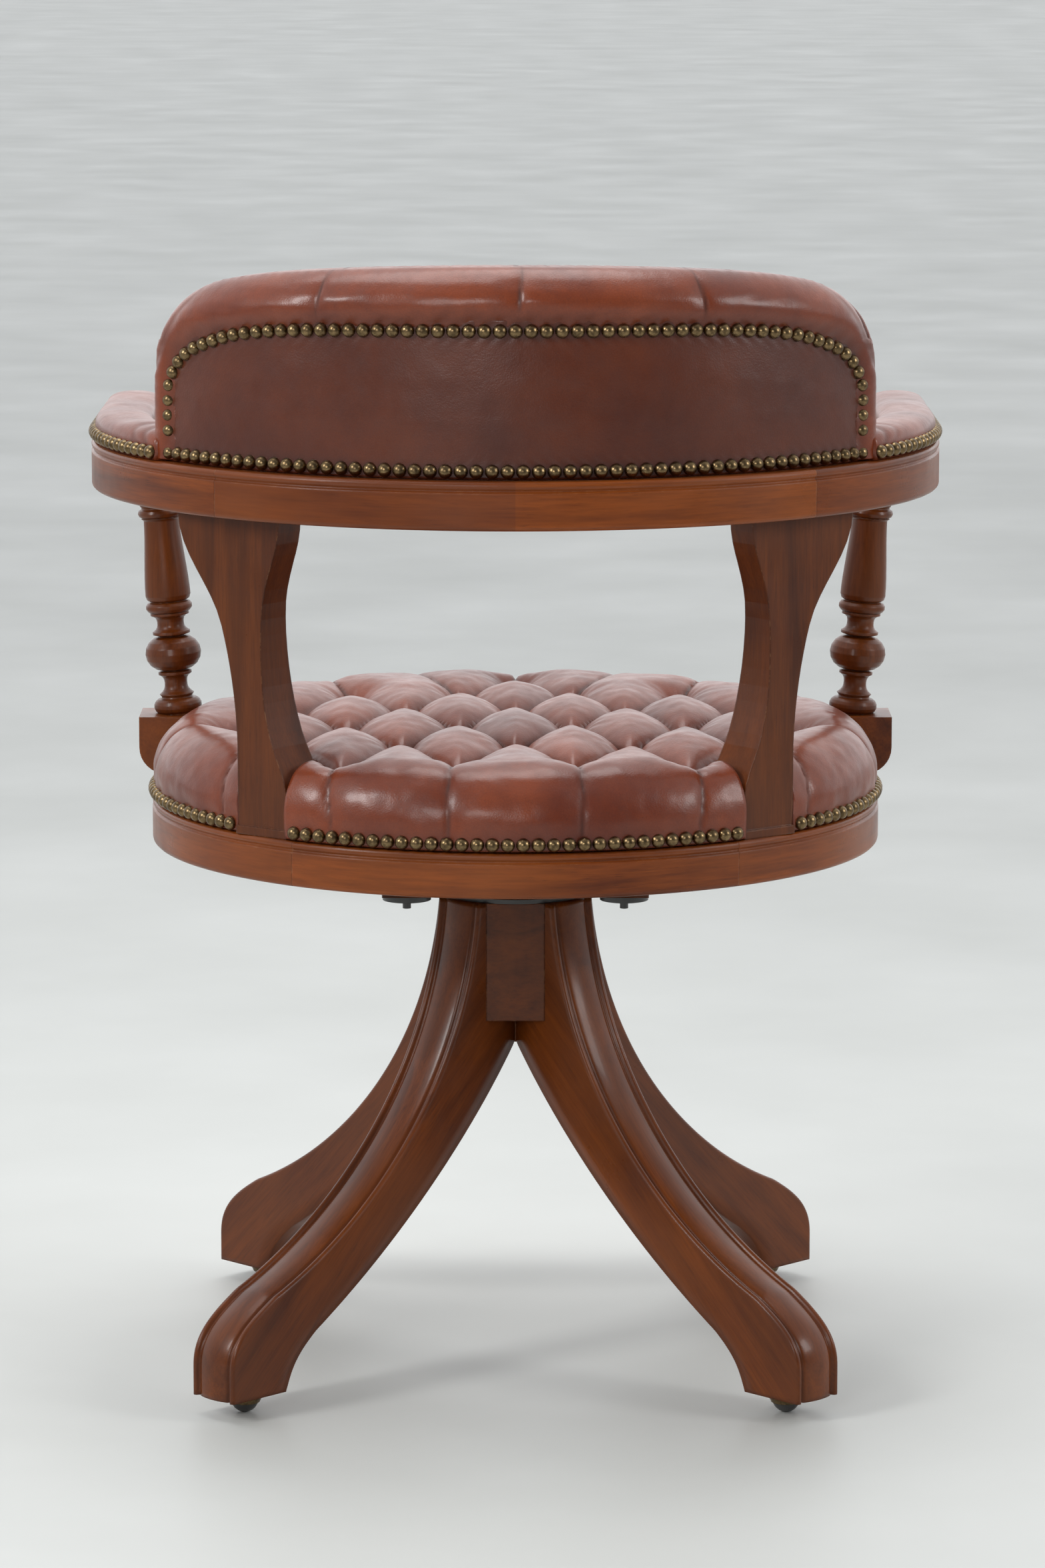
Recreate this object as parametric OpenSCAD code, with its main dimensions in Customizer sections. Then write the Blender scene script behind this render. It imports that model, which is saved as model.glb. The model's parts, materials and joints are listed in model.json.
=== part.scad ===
// Swivel desk chair: a round buttoned seat inside a horseshoe arm rail, on a four-legged wooden pedestal
// with ball castors. It turns, rocks back against a spring, and rises on a screw.
// The front faces -Y, up is +Z, and the origin is on the floor below the swivel axis. Millimetres.

/* [Seat] */
// Outer radius of the round seat rim
seat_r = 266; // [230:1:320]
// Width of the rim's wood, measured along a radius
rim_w = 44; // [36:1:56]
// Height of the rim's lower edge above the floor
rim_z = 384; // [384:1:460]
// Height of the exposed wood of the rim
rim_h = 32; // [28:1:40]
// Height of the rim's rebated top, which the leather wraps
rebate_h = 12; // [8:1:16]
// How far the rebated top stands in from the rim's face
rebate_in = 7; // [5:1:12]
// Thickness of the seat board
board_t = 12; // [9:1:18]
// Crown of the seat cushion above the rebated top
cushion_h = 46; // [36:1:70]
// Spacing of the seat's buttons
button_pitch = 82; // [70:1:100]

/* [Arm rail] */
// Distance from the swivel axis to the outer side of an arm
rail_r = 310; // [300:1:360]
// How far forward of the swivel axis the rail's bend is centred
rail_fwd = 33; // [10:1:60]
// Width of the arm rail
rail_w = 48; // [40:1:64]
// Height of the rail's underside above the floor
rail_z = 641; // [600:1:700]
// Height of the rail's wood
rail_h = 34; // [28:1:44]
// Straight length of each arm, forward of the bend
arm_len = 116; // [105:1:150]
// Height of the arm pads above the rail
pad_h = 22; // [18:1:40]

/* [Back] */
// Half-width of the padded back
back_half_w = 252; // [220:1:270]
// Height of the padded back above the rail
back_h = 145; // [110:1:200]
// Radius of the back's upper corners
back_corner_r = 62; // [40:1:80]
// Rise of the back's top edge towards the middle
back_crown = 14; // [4:1:30]
// Thickness of the plywood back board
back_board_t = 9; // [6:1:12]
// Thickness of the padding in front of the back board
back_pad_t = 38; // [24:1:50]
// Angle that the back wraps to each side
back_sweep = 60; // [54:1:66]
// Width of the padded roll around the edge of the back
roll_w = 38; // [28:1:48]

/* [Posts] */
// Angle round the seat at which the rear posts face
post_angle = 38; // [32:1:44]
// Radial thickness of a rear post at its foot
post_foot_d = 40; // [34:1:44]
// Radial thickness of a rear post at its top
post_top_d = 24; // [18:1:34]
// Width of a rear post at its foot
post_foot_w = 43; // [36:1:52]
// Width of a rear post at its top
post_top_w = 93; // [76:1:104]
// Distance of the turned posts forward of the swivel axis
spindle_fwd = 125; // [115:1:135]
// Diameter of the ball on a turned post
spindle_ball_d = 42; // [34:1:46]
// Diameter of a turned post's tenons
tenon_d = 18; // [12:1:20]
// Height of the blocks under the turned posts
block_h = 43; // [36:1:52]
// Length of those blocks, front to back
block_len = 48; // [40:1:56]

/* [Pedestal] */
// Thickness of a leg
leg_t = 43; // [36:1:50]
// Reach of a leg from the swivel axis
leg_reach = 304; // [270:1:340]
// Height of the pedestal's wood
leg_top_z = 342; // [330:1:342]
// Radius from the swivel axis to a castor
castor_pcr = 273; // [272:1:276]
// Diameter of a castor's ball
castor_d = 20; // [18:1:22]
// Height of the feet's wood above the floor
foot_z = 14.5; // [14:0.5:16]

/* [Mechanism] */
// Diameter of the height screw
screw_d = 20; // [18:1:22]
// Diameter of the journal on top of the height screw
journal_d = 18; // [14:1:18]
// Diameter of the height handwheel
wheel_d = 84; // [70:1:96]
// Distance of the rocking pivot forward of the swivel axis
pivot_fwd = 32; // [31:1:40]
// Diameter of the rocking pivot's shaft
pivot_d = 12; // [10:1:14]
// Distance of the spring bolt forward of the swivel axis
bolt_fwd = 98; // [90:1:104]
// Diameter of the spring bolt
spring_bolt_d = 8; // [6:1:10]
// Outer diameter of the rocking spring
spring_d = 32; // [28:1:36]
// Thickness of the rocking spring's wire
spring_wire_d = 4; // [3:0.5:5]
// Length of the rocking spring as fitted
spring_len = 46; // [40:1:60]
// Width of the steel straps under the seat
strap_w = 35; // [28:1:40]
// Length of those straps
strap_len = 200; // [190:1:240]
// Diameter of the bolts that hold the straps
strap_bolt_d = 6; // [5:1:8]

/* [Trim] */
// Diameter of a decorative nail's head
nail_d = 10; // [8:0.2:10.4]
// Distance from one decorative nail to the next
nail_pitch = 10.7; // [10:0.1:14]

/* [Hidden] */
$fn = 48;

wood = "#6b2c16";
dark_steel = "#3a3836";
bright_steel = "#9a9a98";
brass = "#a58a4c";
leather = "#7a2c20";

eps = 0.01;
gap = 0.2;          // clearance of glued and upholstered fits
run = 0.05;         // radial clearance of running fits
body_gap = 0.3;     // clearance between parts that move past each other

// Places that several parts share
rim_top = rim_z + rim_h;
rebate_r = seat_r - rebate_in;
rebate_top = rim_top + rebate_h;
rim_in = seat_r - rim_w;
board_ledge = 14;
board_r = rim_in + board_ledge;
board_z = rim_top - board_t;
rail_top = rail_z + rail_h;
rail_mid = rail_r - rail_w / 2;
pad_gap = 0.3;
corner = [for (i = [0:3]) 45 + 90 * i];

// Mechanism levels, from the pedestal upwards
plate_t = 3;
wheel_z = leg_top_z + plate_t + body_gap;
wheel_h = 10;
collar_z = wheel_z + wheel_h + body_gap;
collar_h = 4;
washer_h = 2;
yoke_z = collar_z + collar_h + washer_h;
yoke_h = 24;
journal_top = yoke_z + yoke_h + 6;
strap_t = 4;
strap_z = 351;
strap_in = 61;
strap_mid = strap_in + strap_w / 2;
pivot_z = yoke_z + 10;
nose_t = 10;
nose_w = 44;
pin_d = 10;
buffer_h = 5;
pin_z = yoke_z + nose_t + buffer_h + body_gap + pin_d / 2;
ear_t = 5;
ear_x = strap_in - ear_t;
batten_w = strap_w;

// A cubic curve through its two ends, as n steps
function curve(a, b, c, d, n = 10) = [for (i = [0:n]) let (t = i / n, s = 1 - t)
    s * s * s * a + 3 * s * s * t * b + 3 * s * t * t * c + t * t * t * d];

// An arc about a centre
function arc(x, y, r, a0, a1, n = 8) = [for (i = [0:n]) let (a = a0 + (a1 - a0) * i / n)
    [x + r * cos(a), y + r * sin(a)]];

module at_corner(i) { rotate([0, 0, corner[i]]) children(); }
module both_sides() { children(); mirror([1, 0, 0]) children(); }
module on_edge(t) { rotate([90, 0, 0]) translate([0, 0, -t / 2]) linear_extrude(t) children(); }
module ring(r_out, r_in, h) {
    difference() {
        cylinder(r = r_out, h = h);
        translate([0, 0, -1]) cylinder(r = r_in, h = h + 2);
    }
}

// ---------- Pedestal ----------

hub_low_z = 235;
castor_cup_r = castor_d / 2 + 4;
castor_cup_top = castor_d / 2 + 16;
core_bore_d = screw_d + 6;
dado_r = 58.8;

// Side view of a leg, with its outer edge cut in by d
function leg_outline(d = 0) = let (c = -d * [0.7, 0.7], k = leg_reach - 304) concat(
    [[leg_t / 2, leg_top_z]],
    curve([dado_r, leg_top_z] - [d, 0], [70, 215] + c, [165 + k / 2, 125] + c, [262 + k, 85] + c, 16),
    curve([262 + k, 85] + c, [288 + k, 70] + c, [leg_reach - d, 58], [leg_reach - d, 36], 8),
    [[leg_reach - d, foot_z], [252 + k, foot_z]],
    curve([252 + k, foot_z], [246 + k, 30], [243 + k, 38], [222 + k, 54], 6),
    curve([222 + k, 54], [150 + k / 2, 98], [72, 165], [leg_t / 2, hub_low_z], 12));

bead_w = 5;
quirk_w = 2.5;
quirk_d = 2.5;

module leg(i) {
    color(wood) at_corner(i) difference() {
        union() {
            on_edge(leg_t) polygon(leg_outline(quirk_d));
            on_edge(leg_t - 2 * (bead_w + quirk_w)) polygon(leg_outline());
            for (s = [-1, 1]) translate([0, s * (leg_t - bead_w) / 2, 0]) on_edge(bead_w)
                polygon(leg_outline());
        }
        translate([castor_pcr, 0, 0]) cylinder(r = castor_cup_r, h = castor_cup_top);
        plate_screw_hole();
    }
}

plate_screw_r = 44;
plate_screw_d = 5;
plate_screw_l = 36;
module plate_screw_hole() {
    translate([plate_screw_r, 0, leg_top_z - plate_screw_l])
        cylinder(d = plate_screw_d, h = plate_screw_l + 1);
}

module hub_core() {
    color(wood) difference() {
        rotate([0, 0, 45]) translate([-leg_t / 2, -leg_t / 2, hub_low_z])
            cube([leg_t, leg_t, leg_top_z - hub_low_z]);
        translate([0, 0, hub_low_z - 1]) cylinder(d = core_bore_d, h = leg_top_z);
    }
}

module hub_corner_blocks() {
    block_z = 255;
    tip = leg_t * sqrt(0.5);
    color(wood) for (i = [0:3]) rotate([0, 0, 90 * i]) translate([0, 0, block_z])
        linear_extrude(leg_top_z - block_z)
            polygon([[tip, 0], [tip + leg_t / 2, leg_t / 2], [tip + leg_t / 2, -leg_t / 2]]);
}

module hub_top_plate() {
    color(dark_steel) difference() {
        translate([0, 0, leg_top_z]) cylinder(r = 54, h = plate_t);
        translate([0, 0, leg_top_z - 1]) cylinder(d = screw_d + 2 * run, h = plate_t + 2);
        for (i = [0:3]) at_corner(i) translate([plate_screw_r, 0, leg_top_z - eps])
            cylinder(d1 = plate_screw_d, d2 = plate_screw_d + 2 * plate_t, h = plate_t + 2 * eps);
    }
}

module hub_plate_screws() {
    color(bright_steel) for (i = [0:3]) at_corner(i) translate([plate_screw_r, 0, 0]) {
        translate([0, 0, leg_top_z - plate_screw_l]) cylinder(d = plate_screw_d, h = plate_screw_l + eps);
        translate([0, 0, leg_top_z])
            cylinder(d1 = plate_screw_d, d2 = plate_screw_d + 2 * plate_t - 0.4, h = plate_t - 0.2);
    }
}

key_w = 5;
key_d = 2.5;
module screw_bush() {
    color(brass) {
        translate([0, 0, hub_low_z]) ring(core_bore_d / 2, screw_d / 2 + run, leg_top_z - hub_low_z);
        translate([screw_d / 2 - key_d + 0.3, -key_w / 2, leg_top_z - 40])
            cube([key_d + 0.7, key_w, 30]);
    }
}

castor_r = castor_d / 2;
race_ball_r = 1.2;
race_angle = 45;
module at_castor(i) { at_corner(i) translate([castor_pcr, 0, castor_r]) children(); }

module castor_cups() {
    lip_z = -2.5;
    lip_r = sqrt(castor_r * castor_r - lip_z * lip_z) + 0.15;
    race_gap = castor_r + 2 * (race_ball_r + run) + 0.05;
    color(brass) for (i = [0:3]) at_castor(i) difference() {
        rotate_extrude() polygon([[0, lip_z], [lip_r + 1, lip_z], [castor_cup_r, foot_z - castor_r],
            [castor_cup_r, castor_cup_top - castor_r], [0, castor_cup_top - castor_r]]);
        sphere(r = castor_r + 0.15);
        translate([0, 0, lip_z - 1]) cylinder(r = lip_r, h = 1 - lip_z);
        intersection() {
            sphere(r = race_gap);
            translate([0, 0, 5]) cylinder(r = 20, h = 20);
        }
    }
}

module castor_race(i) {
    reach = castor_r + run + race_ball_r;
    color(bright_steel) at_castor(i) for (k = [0:7]) rotate([0, 0, 45 * k])
        translate([reach * sin(race_angle), 0, reach * cos(race_angle)]) sphere(r = race_ball_r);
}

module castor_ball(i) { color(dark_steel) at_castor(i) sphere(r = castor_r); }

// ---------- Height screw and handwheel ----------

module height_screw() {
    foot = hub_low_z + 5;
    color(bright_steel) difference() {
        union() {
            translate([0, 0, foot]) cylinder(d = screw_d, h = collar_z - foot);
            translate([0, 0, collar_z]) cylinder(r = 17, h = collar_h);
            translate([0, 0, collar_z]) cylinder(d = journal_d, h = journal_top - collar_z);
        }
        translate([screw_d / 2 - key_d, -key_w / 2 - run, foot - 1])
            cube([key_d + 1, key_w + 2 * run, leg_top_z - foot + 1]);
    }
}

module height_handwheel() {
    grips = 12;
    color(dark_steel) translate([0, 0, wheel_z]) difference() {
        cylinder(d = wheel_d, h = wheel_h);
        translate([0, 0, -1]) cylinder(d = screw_d + 2 * run, h = wheel_h + 2);
        for (i = [0:grips - 1]) rotate([0, 0, 360 / grips * i]) translate([wheel_d / 2 + 3, 0, -1])
            cylinder(r = 6, h = wheel_h + 2);
    }
}

// ---------- Swivelling yoke ----------

bush_t = 2;
slot_half = 5;
module rocker_yoke() {
    boss_d = pivot_d + 12;
    color(dark_steel) difference() {
        union() {
            translate([0, 0, yoke_z]) cylinder(d = 44, h = yoke_h);
            translate([-ear_x + body_gap, -pivot_fwd, pivot_z]) rotate([0, 90, 0])
                cylinder(d = boss_d, h = 2 * (ear_x - body_gap));
            translate([-nose_w / 2, -bolt_fwd - 20, yoke_z]) cube([nose_w, bolt_fwd + 20 - pivot_fwd, nose_t]);
        }
        translate([0, 0, yoke_z - 5]) cylinder(d = journal_d + 2 * bush_t, h = yoke_h + 10);
        translate([-ear_x, -pivot_fwd, pivot_z]) rotate([0, 90, 0])
            cylinder(d = pivot_d + 2 * run, h = 2 * ear_x);
        for (s = [-1, 1]) translate([0, -bolt_fwd + s * slot_half, yoke_z - 1])
            cylinder(d = spring_bolt_d + 2, h = nose_t + 2);
        translate([-spring_bolt_d / 2 - 1, -bolt_fwd - slot_half, yoke_z - 1])
            cube([spring_bolt_d + 2, 2 * slot_half, nose_t + 2]);
    }
}

module swivel_bush() {
    color(brass) translate([0, 0, yoke_z]) ring(journal_d / 2 + bush_t, journal_d / 2 + run, yoke_h);
}

module thrust_washer() {
    color(brass) translate([0, 0, yoke_z - washer_h + 0.02]) ring(17, journal_d / 2 + run, washer_h - 0.04);
}

module retaining_nut() {
    color(bright_steel) difference() {
        translate([0, 0, yoke_z + yoke_h + 0.2]) cylinder(d = 30, h = 5, $fn = 6);
        translate([0, 0, yoke_z]) cylinder(d = journal_d, h = yoke_h + 10);
    }
}

module stop_buffers() {
    color("#202020") for (s = [-1, 1]) translate([s * 16, -bolt_fwd, yoke_z + nose_t])
        cylinder(d = 9, h = buffer_h);
}

// The spring is one turned wire, swept round a helix with a few sides
module rocker_spring() {
    turns = 5;
    steps = 16;
    sides = 6;
    r = (spring_d - spring_wire_d) / 2;
    rise = spring_len - spring_wire_d;
    n = turns * steps;
    points = [for (i = [0:n]) let (a = 360 * i / steps, z = rise * i / n)
        for (k = [0:sides - 1]) let (b = 360 * k / sides, q = r + spring_wire_d / 2 * cos(b))
            [q * cos(a), q * sin(a), z + spring_wire_d / 2 * sin(b)]];
    faces = concat(
        [[for (k = [0:sides - 1]) k]],
        [for (i = [0:n - 1], k = [0:sides - 1]) let (m = (k + 1) % sides)
            [i * sides + k, (i + 1) * sides + k, (i + 1) * sides + m, i * sides + m]],
        [[for (k = [sides - 1:-1:0]) n * sides + k]]);
    color(bright_steel) translate([0, -bolt_fwd, yoke_z - spring_len + spring_wire_d / 2 - 0.1])
        polyhedron(points, faces);
}

// ---------- Rocking frame under the seat ----------

strap_bolt_y = strap_len / 2 - strap_w / 2;

module strap() {
    ear_top = pin_z + 9;
    ear_len = bolt_fwd - pivot_fwd + 24;
    color(dark_steel) difference() {
        union() {
            translate([strap_mid, 0, strap_z]) linear_extrude(strap_t) {
                square([strap_w, strap_len - strap_w], center = true);
                for (s = [-1, 1]) translate([0, s * strap_bolt_y]) circle(d = strap_w);
            }
            translate([ear_x, -bolt_fwd - 10, strap_z]) {
                cube([ear_t + 1, ear_len, strap_t]);
                cube([ear_t - gap, ear_len, ear_top - strap_z]);
            }
        }
        translate([0, -pivot_fwd, pivot_z]) rotate([0, 90, 0]) cylinder(d = pivot_d, h = 200);
        translate([0, -bolt_fwd, pin_z]) rotate([0, 90, 0]) cylinder(d = pin_d, h = 200);
        for (s = [-1, 1]) translate([strap_mid, s * strap_bolt_y, 0]) cylinder(d = strap_bolt_d, h = 400);
    }
}

module cross_shaft(d, fwd, z) {
    half = ear_x + ear_t - gap;
    color(bright_steel) translate([-half, -fwd, z]) rotate([0, 90, 0]) cylinder(d = d, h = 2 * half);
}

knob_h = 24;
seat_washer_h = 4;
spring_low_z = yoke_z - spring_len;
knob_top = spring_low_z - seat_washer_h - body_gap;
knob_floor = 3;
preload_travel = 8;
bolt_low_z = knob_top - knob_h + knob_floor + preload_travel + 0.7;

module spring_bolt() {
    eye_d = pin_d + 10;
    eye_w = 12;
    color(bright_steel) translate([0, -bolt_fwd, 0]) difference() {
        union() {
            translate([-eye_w / 2, 0, pin_z]) rotate([0, 90, 0]) cylinder(d = eye_d, h = eye_w);
            translate([0, 0, bolt_low_z]) cylinder(d = spring_bolt_d, h = pin_z - bolt_low_z);
        }
        translate([-eye_w, 0, pin_z]) rotate([0, 90, 0]) cylinder(d = pin_d + 2 * run, h = 2 * eye_w);
    }
}

module spring_seat() {
    color(bright_steel) translate([0, -bolt_fwd, spring_low_z - seat_washer_h - 0.1])
        ring(spring_d / 2 + 2, spring_bolt_d / 2 + run, seat_washer_h - body_gap);
}

module tension_knob() {
    flutes = 8;
    r = 22;
    color("#1d1b1a") translate([0, -bolt_fwd, knob_top - knob_h]) difference() {
        cylinder(r = r, h = knob_h);
        translate([0, 0, knob_floor]) cylinder(d = spring_bolt_d + 2 * run, h = knob_h);
        for (i = [0:flutes - 1]) rotate([0, 0, 360 / flutes * i]) translate([r + 3, 0, -1])
            cylinder(r = 6, h = knob_h + 2);
    }
}

batten_z = strap_z + strap_t;
batten_half = sqrt(pow(rim_in - gap, 2) - pow(strap_in + batten_w, 2)) - 1;
board_screw_y = [-150, 0, 150];
bolt_head_h = 4;

module batten() {
    end_z = board_z - 28;
    foot_y = strap_len / 2;
    color(wood) difference() {
        translate([strap_in, 0, 0]) rotate([90, 0, 90]) linear_extrude(batten_w) polygon([
            [-batten_half, board_z], [-batten_half, end_z], [-foot_y - end_z + batten_z, end_z],
            [-foot_y, batten_z], [foot_y, batten_z], [foot_y + end_z - batten_z, end_z],
            [batten_half, end_z], [batten_half, board_z]]);
        for (s = [-1, 1]) translate([strap_mid, s * strap_bolt_y, 0]) {
            cylinder(d = strap_bolt_d, h = 500);
            translate([0, 0, board_z - bolt_head_h]) cylinder(d = 2 * strap_bolt_d, h = 20);
        }
        board_screw_holes();
    }
}

module strap_bolts() {
    proud = 6.5;
    color(bright_steel) both_sides() for (s = [-1, 1]) translate([strap_mid, s * strap_bolt_y, 0]) {
        translate([0, 0, strap_z - proud]) cylinder(d = strap_bolt_d, h = board_z - strap_z + proud - 1);
        translate([0, 0, board_z - bolt_head_h]) cylinder(d = 2 * strap_bolt_d, h = bolt_head_h - gap);
    }
}

board_screw_d = 4;
board_screw_l = 34;
module board_screw_holes() {
    for (y = board_screw_y) translate([strap_mid, y, rim_top - board_screw_l])
        cylinder(d = board_screw_d, h = board_screw_l + 1);
}

// Screws down through the seat board, and up through the rim into the posts' blocks
module wood_screws() {
    color(bright_steel) both_sides() {
        for (y = board_screw_y) translate([strap_mid, y, rim_top - board_screw_l])
            cylinder(d = board_screw_d, h = board_screw_l);
        at_block_screws() translate([0, 0, rim_z + 1]) cylinder(d = block_screw_d, h = block_screw_l);
    }
}

module seat_board() {
    color("#b58a5a") difference() {
        translate([0, 0, board_z]) cylinder(r = board_r - gap, h = board_t);
        both_sides() board_screw_holes();
    }
}

// ---------- Seat rim ----------

// Half section of the rim: bead and quirk under the leather, a ledge for the board inside
module rim_section() {
    polygon(concat(
        [[rim_in, rim_z + 2], [rim_in + 2, rim_z], [seat_r - 3, rim_z]],
        arc(seat_r - 3, rim_z + 3, 3, -90, 0, 3),
        [[seat_r, rim_top - 7.5], [seat_r - 1.6, rim_top - 6.2], [seat_r - 1.6, rim_top - 5.6]],
        arc(seat_r - 3, rim_top - 2.8, 2.8, -30, 90, 5),
        [[rebate_r, rim_top], [rebate_r, rebate_top], [board_r, rebate_top], [board_r, board_z],
         [rim_in, board_z]]));
}

rim_seg = 72;
module seat_rail(i) {
    color(wood) difference() {
        rotate([0, 0, 90 - rim_seg / 2 + rim_seg * i]) rotate_extrude(angle = rim_seg, $fn = 96) rim_section();
        both_sides() {
            post_foot_box(gap);
            block_box(gap);
            block_screw_holes();
            seat_dowels();
        }
    }
}

// ---------- Rear posts ----------

post_c = 261 + seat_r - 266;
foot_plinth_h = 6;

module at_post() { rotate([0, 0, -post_angle]) translate([0, post_c, 0]) children(); }

// Room for a post's foot, with clearance g
module post_foot_box(g) {
    at_post() translate([-2 - g, -post_foot_d - g, rim_top])
        cube([post_foot_w + 4 + 2 * g, post_foot_d + 20, 60]);
}

// Front view of a rear post: a scrolled board, broad at the rail and narrow at the seat
function post_outline() = let (h = rail_z - rim_top, z = rim_top, w = post_top_w, f = post_foot_w) concat(
    [[0, z], [f, z], [f + 1, z + 0.16 * h]],
    curve([f + 1, z + 0.28 * h], [f + 2, z + 0.42 * h], [f + 8, z + 0.55 * h], [f + 15, z + 0.65 * h], 8),
    curve([f + 15, z + 0.65 * h], [f + 24, z + 0.78 * h], [w + 4, z + 0.86 * h], [w + 5, z + h], 8),
    curve([5, z + h], [5, z + 0.88 * h], [20, z + 0.82 * h], [21.5, z + 0.68 * h], 8),
    curve([21.5, z + 0.68 * h], [23, z + 0.58 * h], [22, z + 0.46 * h], [17.5, z + 0.37 * h], 6),
    curve([17.5, z + 0.37 * h], [13, z + 0.26 * h], [2, z + 0.22 * h], [-1, z + 0.13 * h], 6));

// Side view of a rear post, from its outer face inwards
function post_side() = let (h = rail_z - rim_top, z = rim_top) concat(
    [[0, z], [0, z + h], [-post_top_d, z + h]],
    curve([-post_top_d, z + h], [-post_top_d, z + 0.6 * h],
        [-post_foot_d + 6, z + 0.5 * h], [-post_foot_d, z + 0.1 * h], 8),
    [[-post_foot_d, z]]);

module scroll_post() {
    color(wood) difference() {
        union() {
            at_post() intersection() {
                translate([0, 1, 0]) rotate([90, 0, 0])
                    linear_extrude(post_foot_d + 10) polygon(post_outline());
                translate([-20, 0, 0]) rotate([90, 0, 90])
                    linear_extrude(post_top_w + 60) polygon(post_side());
            }
            at_post() translate([-1.5, -8, rim_top]) cube([post_foot_w + 3, 9.5, foot_plinth_h]);
        }
        post_top_dowels();
        seat_dowels();
    }
}

dowel_d = 10;
dowel_l = 30;
module post_top_dowels() {
    at_post() for (u = [18, 68]) translate([u, -post_top_d / 2, rail_z - dowel_l / 2])
        cylinder(d = dowel_d, h = dowel_l);
}
module seat_dowels() {
    at_post() for (u = [11, 32]) translate([u, -14, rim_top - dowel_l / 2]) cylinder(d = dowel_d, h = dowel_l);
}
module frame_dowels() { color("#b58a5a") both_sides() { post_top_dowels(); seat_dowels(); } }

// ---------- Blocks and turned posts ----------

block_out = seat_r + 16.5;
block_body = seat_r - 30;
block_top = rim_top + block_h - 3;
block_y = -spindle_fwd;

// Room for a block, with clearance g
module block_box(g) {
    y = block_y - block_len / 2 - g;
    room = [100, block_len + 2 * g, 80];
    translate([seat_r - 50 - g, y, rim_top]) cube([room.x, room.y, rebate_h + g]);
    translate([block_body - g, y, rim_top]) cube(room);
    translate([block_body - 6 - g, y, block_top - 6 - g]) cube(room);
}

block_screw_d = 5;
block_screw_l = rim_h + rebate_h - 4;
module at_block_screws() {
    for (p = [[seat_r - 40, block_y + 15], [seat_r - 42, block_y - 3]]) translate([p.x, p.y, 0]) children();
}
module block_screw_holes() {
    at_block_screws() translate([0, 0, rim_z - 1]) cylinder(d = block_screw_d, h = block_screw_l + 2);
}

module post_block() {
    curl = 20;
    low = rim_top - 3;
    difference() {
        translate([0, block_y, 0]) on_edge(block_len) polygon(concat(
            [[seat_r - 50, rim_top], [seat_r - 16, rim_top], [seat_r - 16, low]],
            arc(block_out - curl, low + curl, curl, -90, 0, 8),
            [[block_out, block_top], [block_body - 6, block_top], [block_body - 6, block_top - 4],
             [block_body, block_top - 6], [block_body, rebate_top], [seat_r - 50, rebate_top]]));
        cylinder(r = seat_r + gap, h = rim_top);
        cylinder(r = board_r + gap, h = 600);
        turned_axis() translate([0, 0, -20]) cylinder(d = tenon_d, h = 24);
        block_screw_holes();
    }
}

module post_blocks() { color(wood) both_sides() post_block(); }

// A turned post leans outwards from its block to the rail
post_x = seat_r - 12;
post_h = rail_z - block_top;
post_lean = atan((rail_r - 41 - post_x) / post_h);
module turned_axis() { translate([post_x, block_y, block_top]) rotate([0, post_lean, 0]) children(); }

// Half profile of a turned post, foot to head
function turned_profile() = let (b = spindle_ball_d / 2, h = post_h - 185) concat(
    [[0, -3], [17, -3]], arc(12, 6, 6, -60, 90, 6), [[11.5, 13]],
    curve([13, 15], [9, 18], [8.5, 20], [8.5, 23], 4),
    curve([8.5, 24], [8.5, 27], [10, 29], [12.5, 30], 4), [[12.5, 32]],
    arc(b - 13, 46, 13, -85, 85, 8),
    [[14, 60.5], [14, 62.5]],
    curve([13, 63], [10, 65], [10, 67], [10, 69], 4),
    curve([10, 70], [10, 73], [12, 74.5], [14.5, 75], 3), [[14.5, 77]],
    arc(13.3, 81.2, 4.2, -90, 90, 5),
    [[16, 87]],
    curve([17, 90], [17, 106], [13.5, 130 + h / 2], [13.2, 147 + h], 8),
    [[15, 148.5 + h]], arc(13.5, 152.5 + h, 3.5, -80, 80, 4),
    [[14, 157 + h], [15, 158 + h], [15, 161 + h], [13.5, 163 + h], [13.5, 180 + h], [16, 183 + h],
     [16, 190 + h], [0, 190 + h]]);

module turned_post() {
    tenon_l = 18;
    color(wood) {
        intersection() {
            turned_axis() rotate_extrude() polygon(turned_profile());
            translate([0, -300, block_top]) cube([400, 400, post_h]);
        }
        turned_axis() translate([0, 0, -tenon_l]) cylinder(d = tenon_d, h = tenon_l + 10);
        turned_axis() translate([0, 0, post_h - 5]) cylinder(d = tenon_d, h = 5 + tenon_l);
    }
}

// ---------- Arm rail ----------

// Half section of the rail about its middle line: a bead and quirk along the top edge
module rail_half() {
    h = rail_w / 2;
    polygon(concat([[0, rail_z], [h - 3, rail_z]], arc(h - 3, rail_z + 3, 3, -90, 0, 3),
        [[h, rail_top - 8], [h - 1.6, rail_top - 6.8], [h - 1.6, rail_top - 6.2]],
        arc(h - 3, rail_top - 3, 3, -30, 90, 5), [[0, rail_top]]));
}

// Sweeps a half section round the bend from one angle to another
module bend(a0, a1) {
    translate([0, -rail_fwd, 0]) rotate([0, 0, a0]) rotate_extrude(angle = a1 - a0, $fn = 96)
        translate([rail_mid, 0]) {
            children();
            mirror([1, 0]) children();
        }
}

// The straight arm of a half section on the +X side, with its rounded front end
module arm() {
    translate([rail_mid, -rail_fwd, 0]) rotate([90, 0, 0]) linear_extrude(arm_len) {
        children();
        mirror([1, 0]) children();
    }
    translate([rail_mid, -rail_fwd - arm_len, 0]) rotate([0, 0, 180]) rotate_extrude(angle = 180) children();
}

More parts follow.
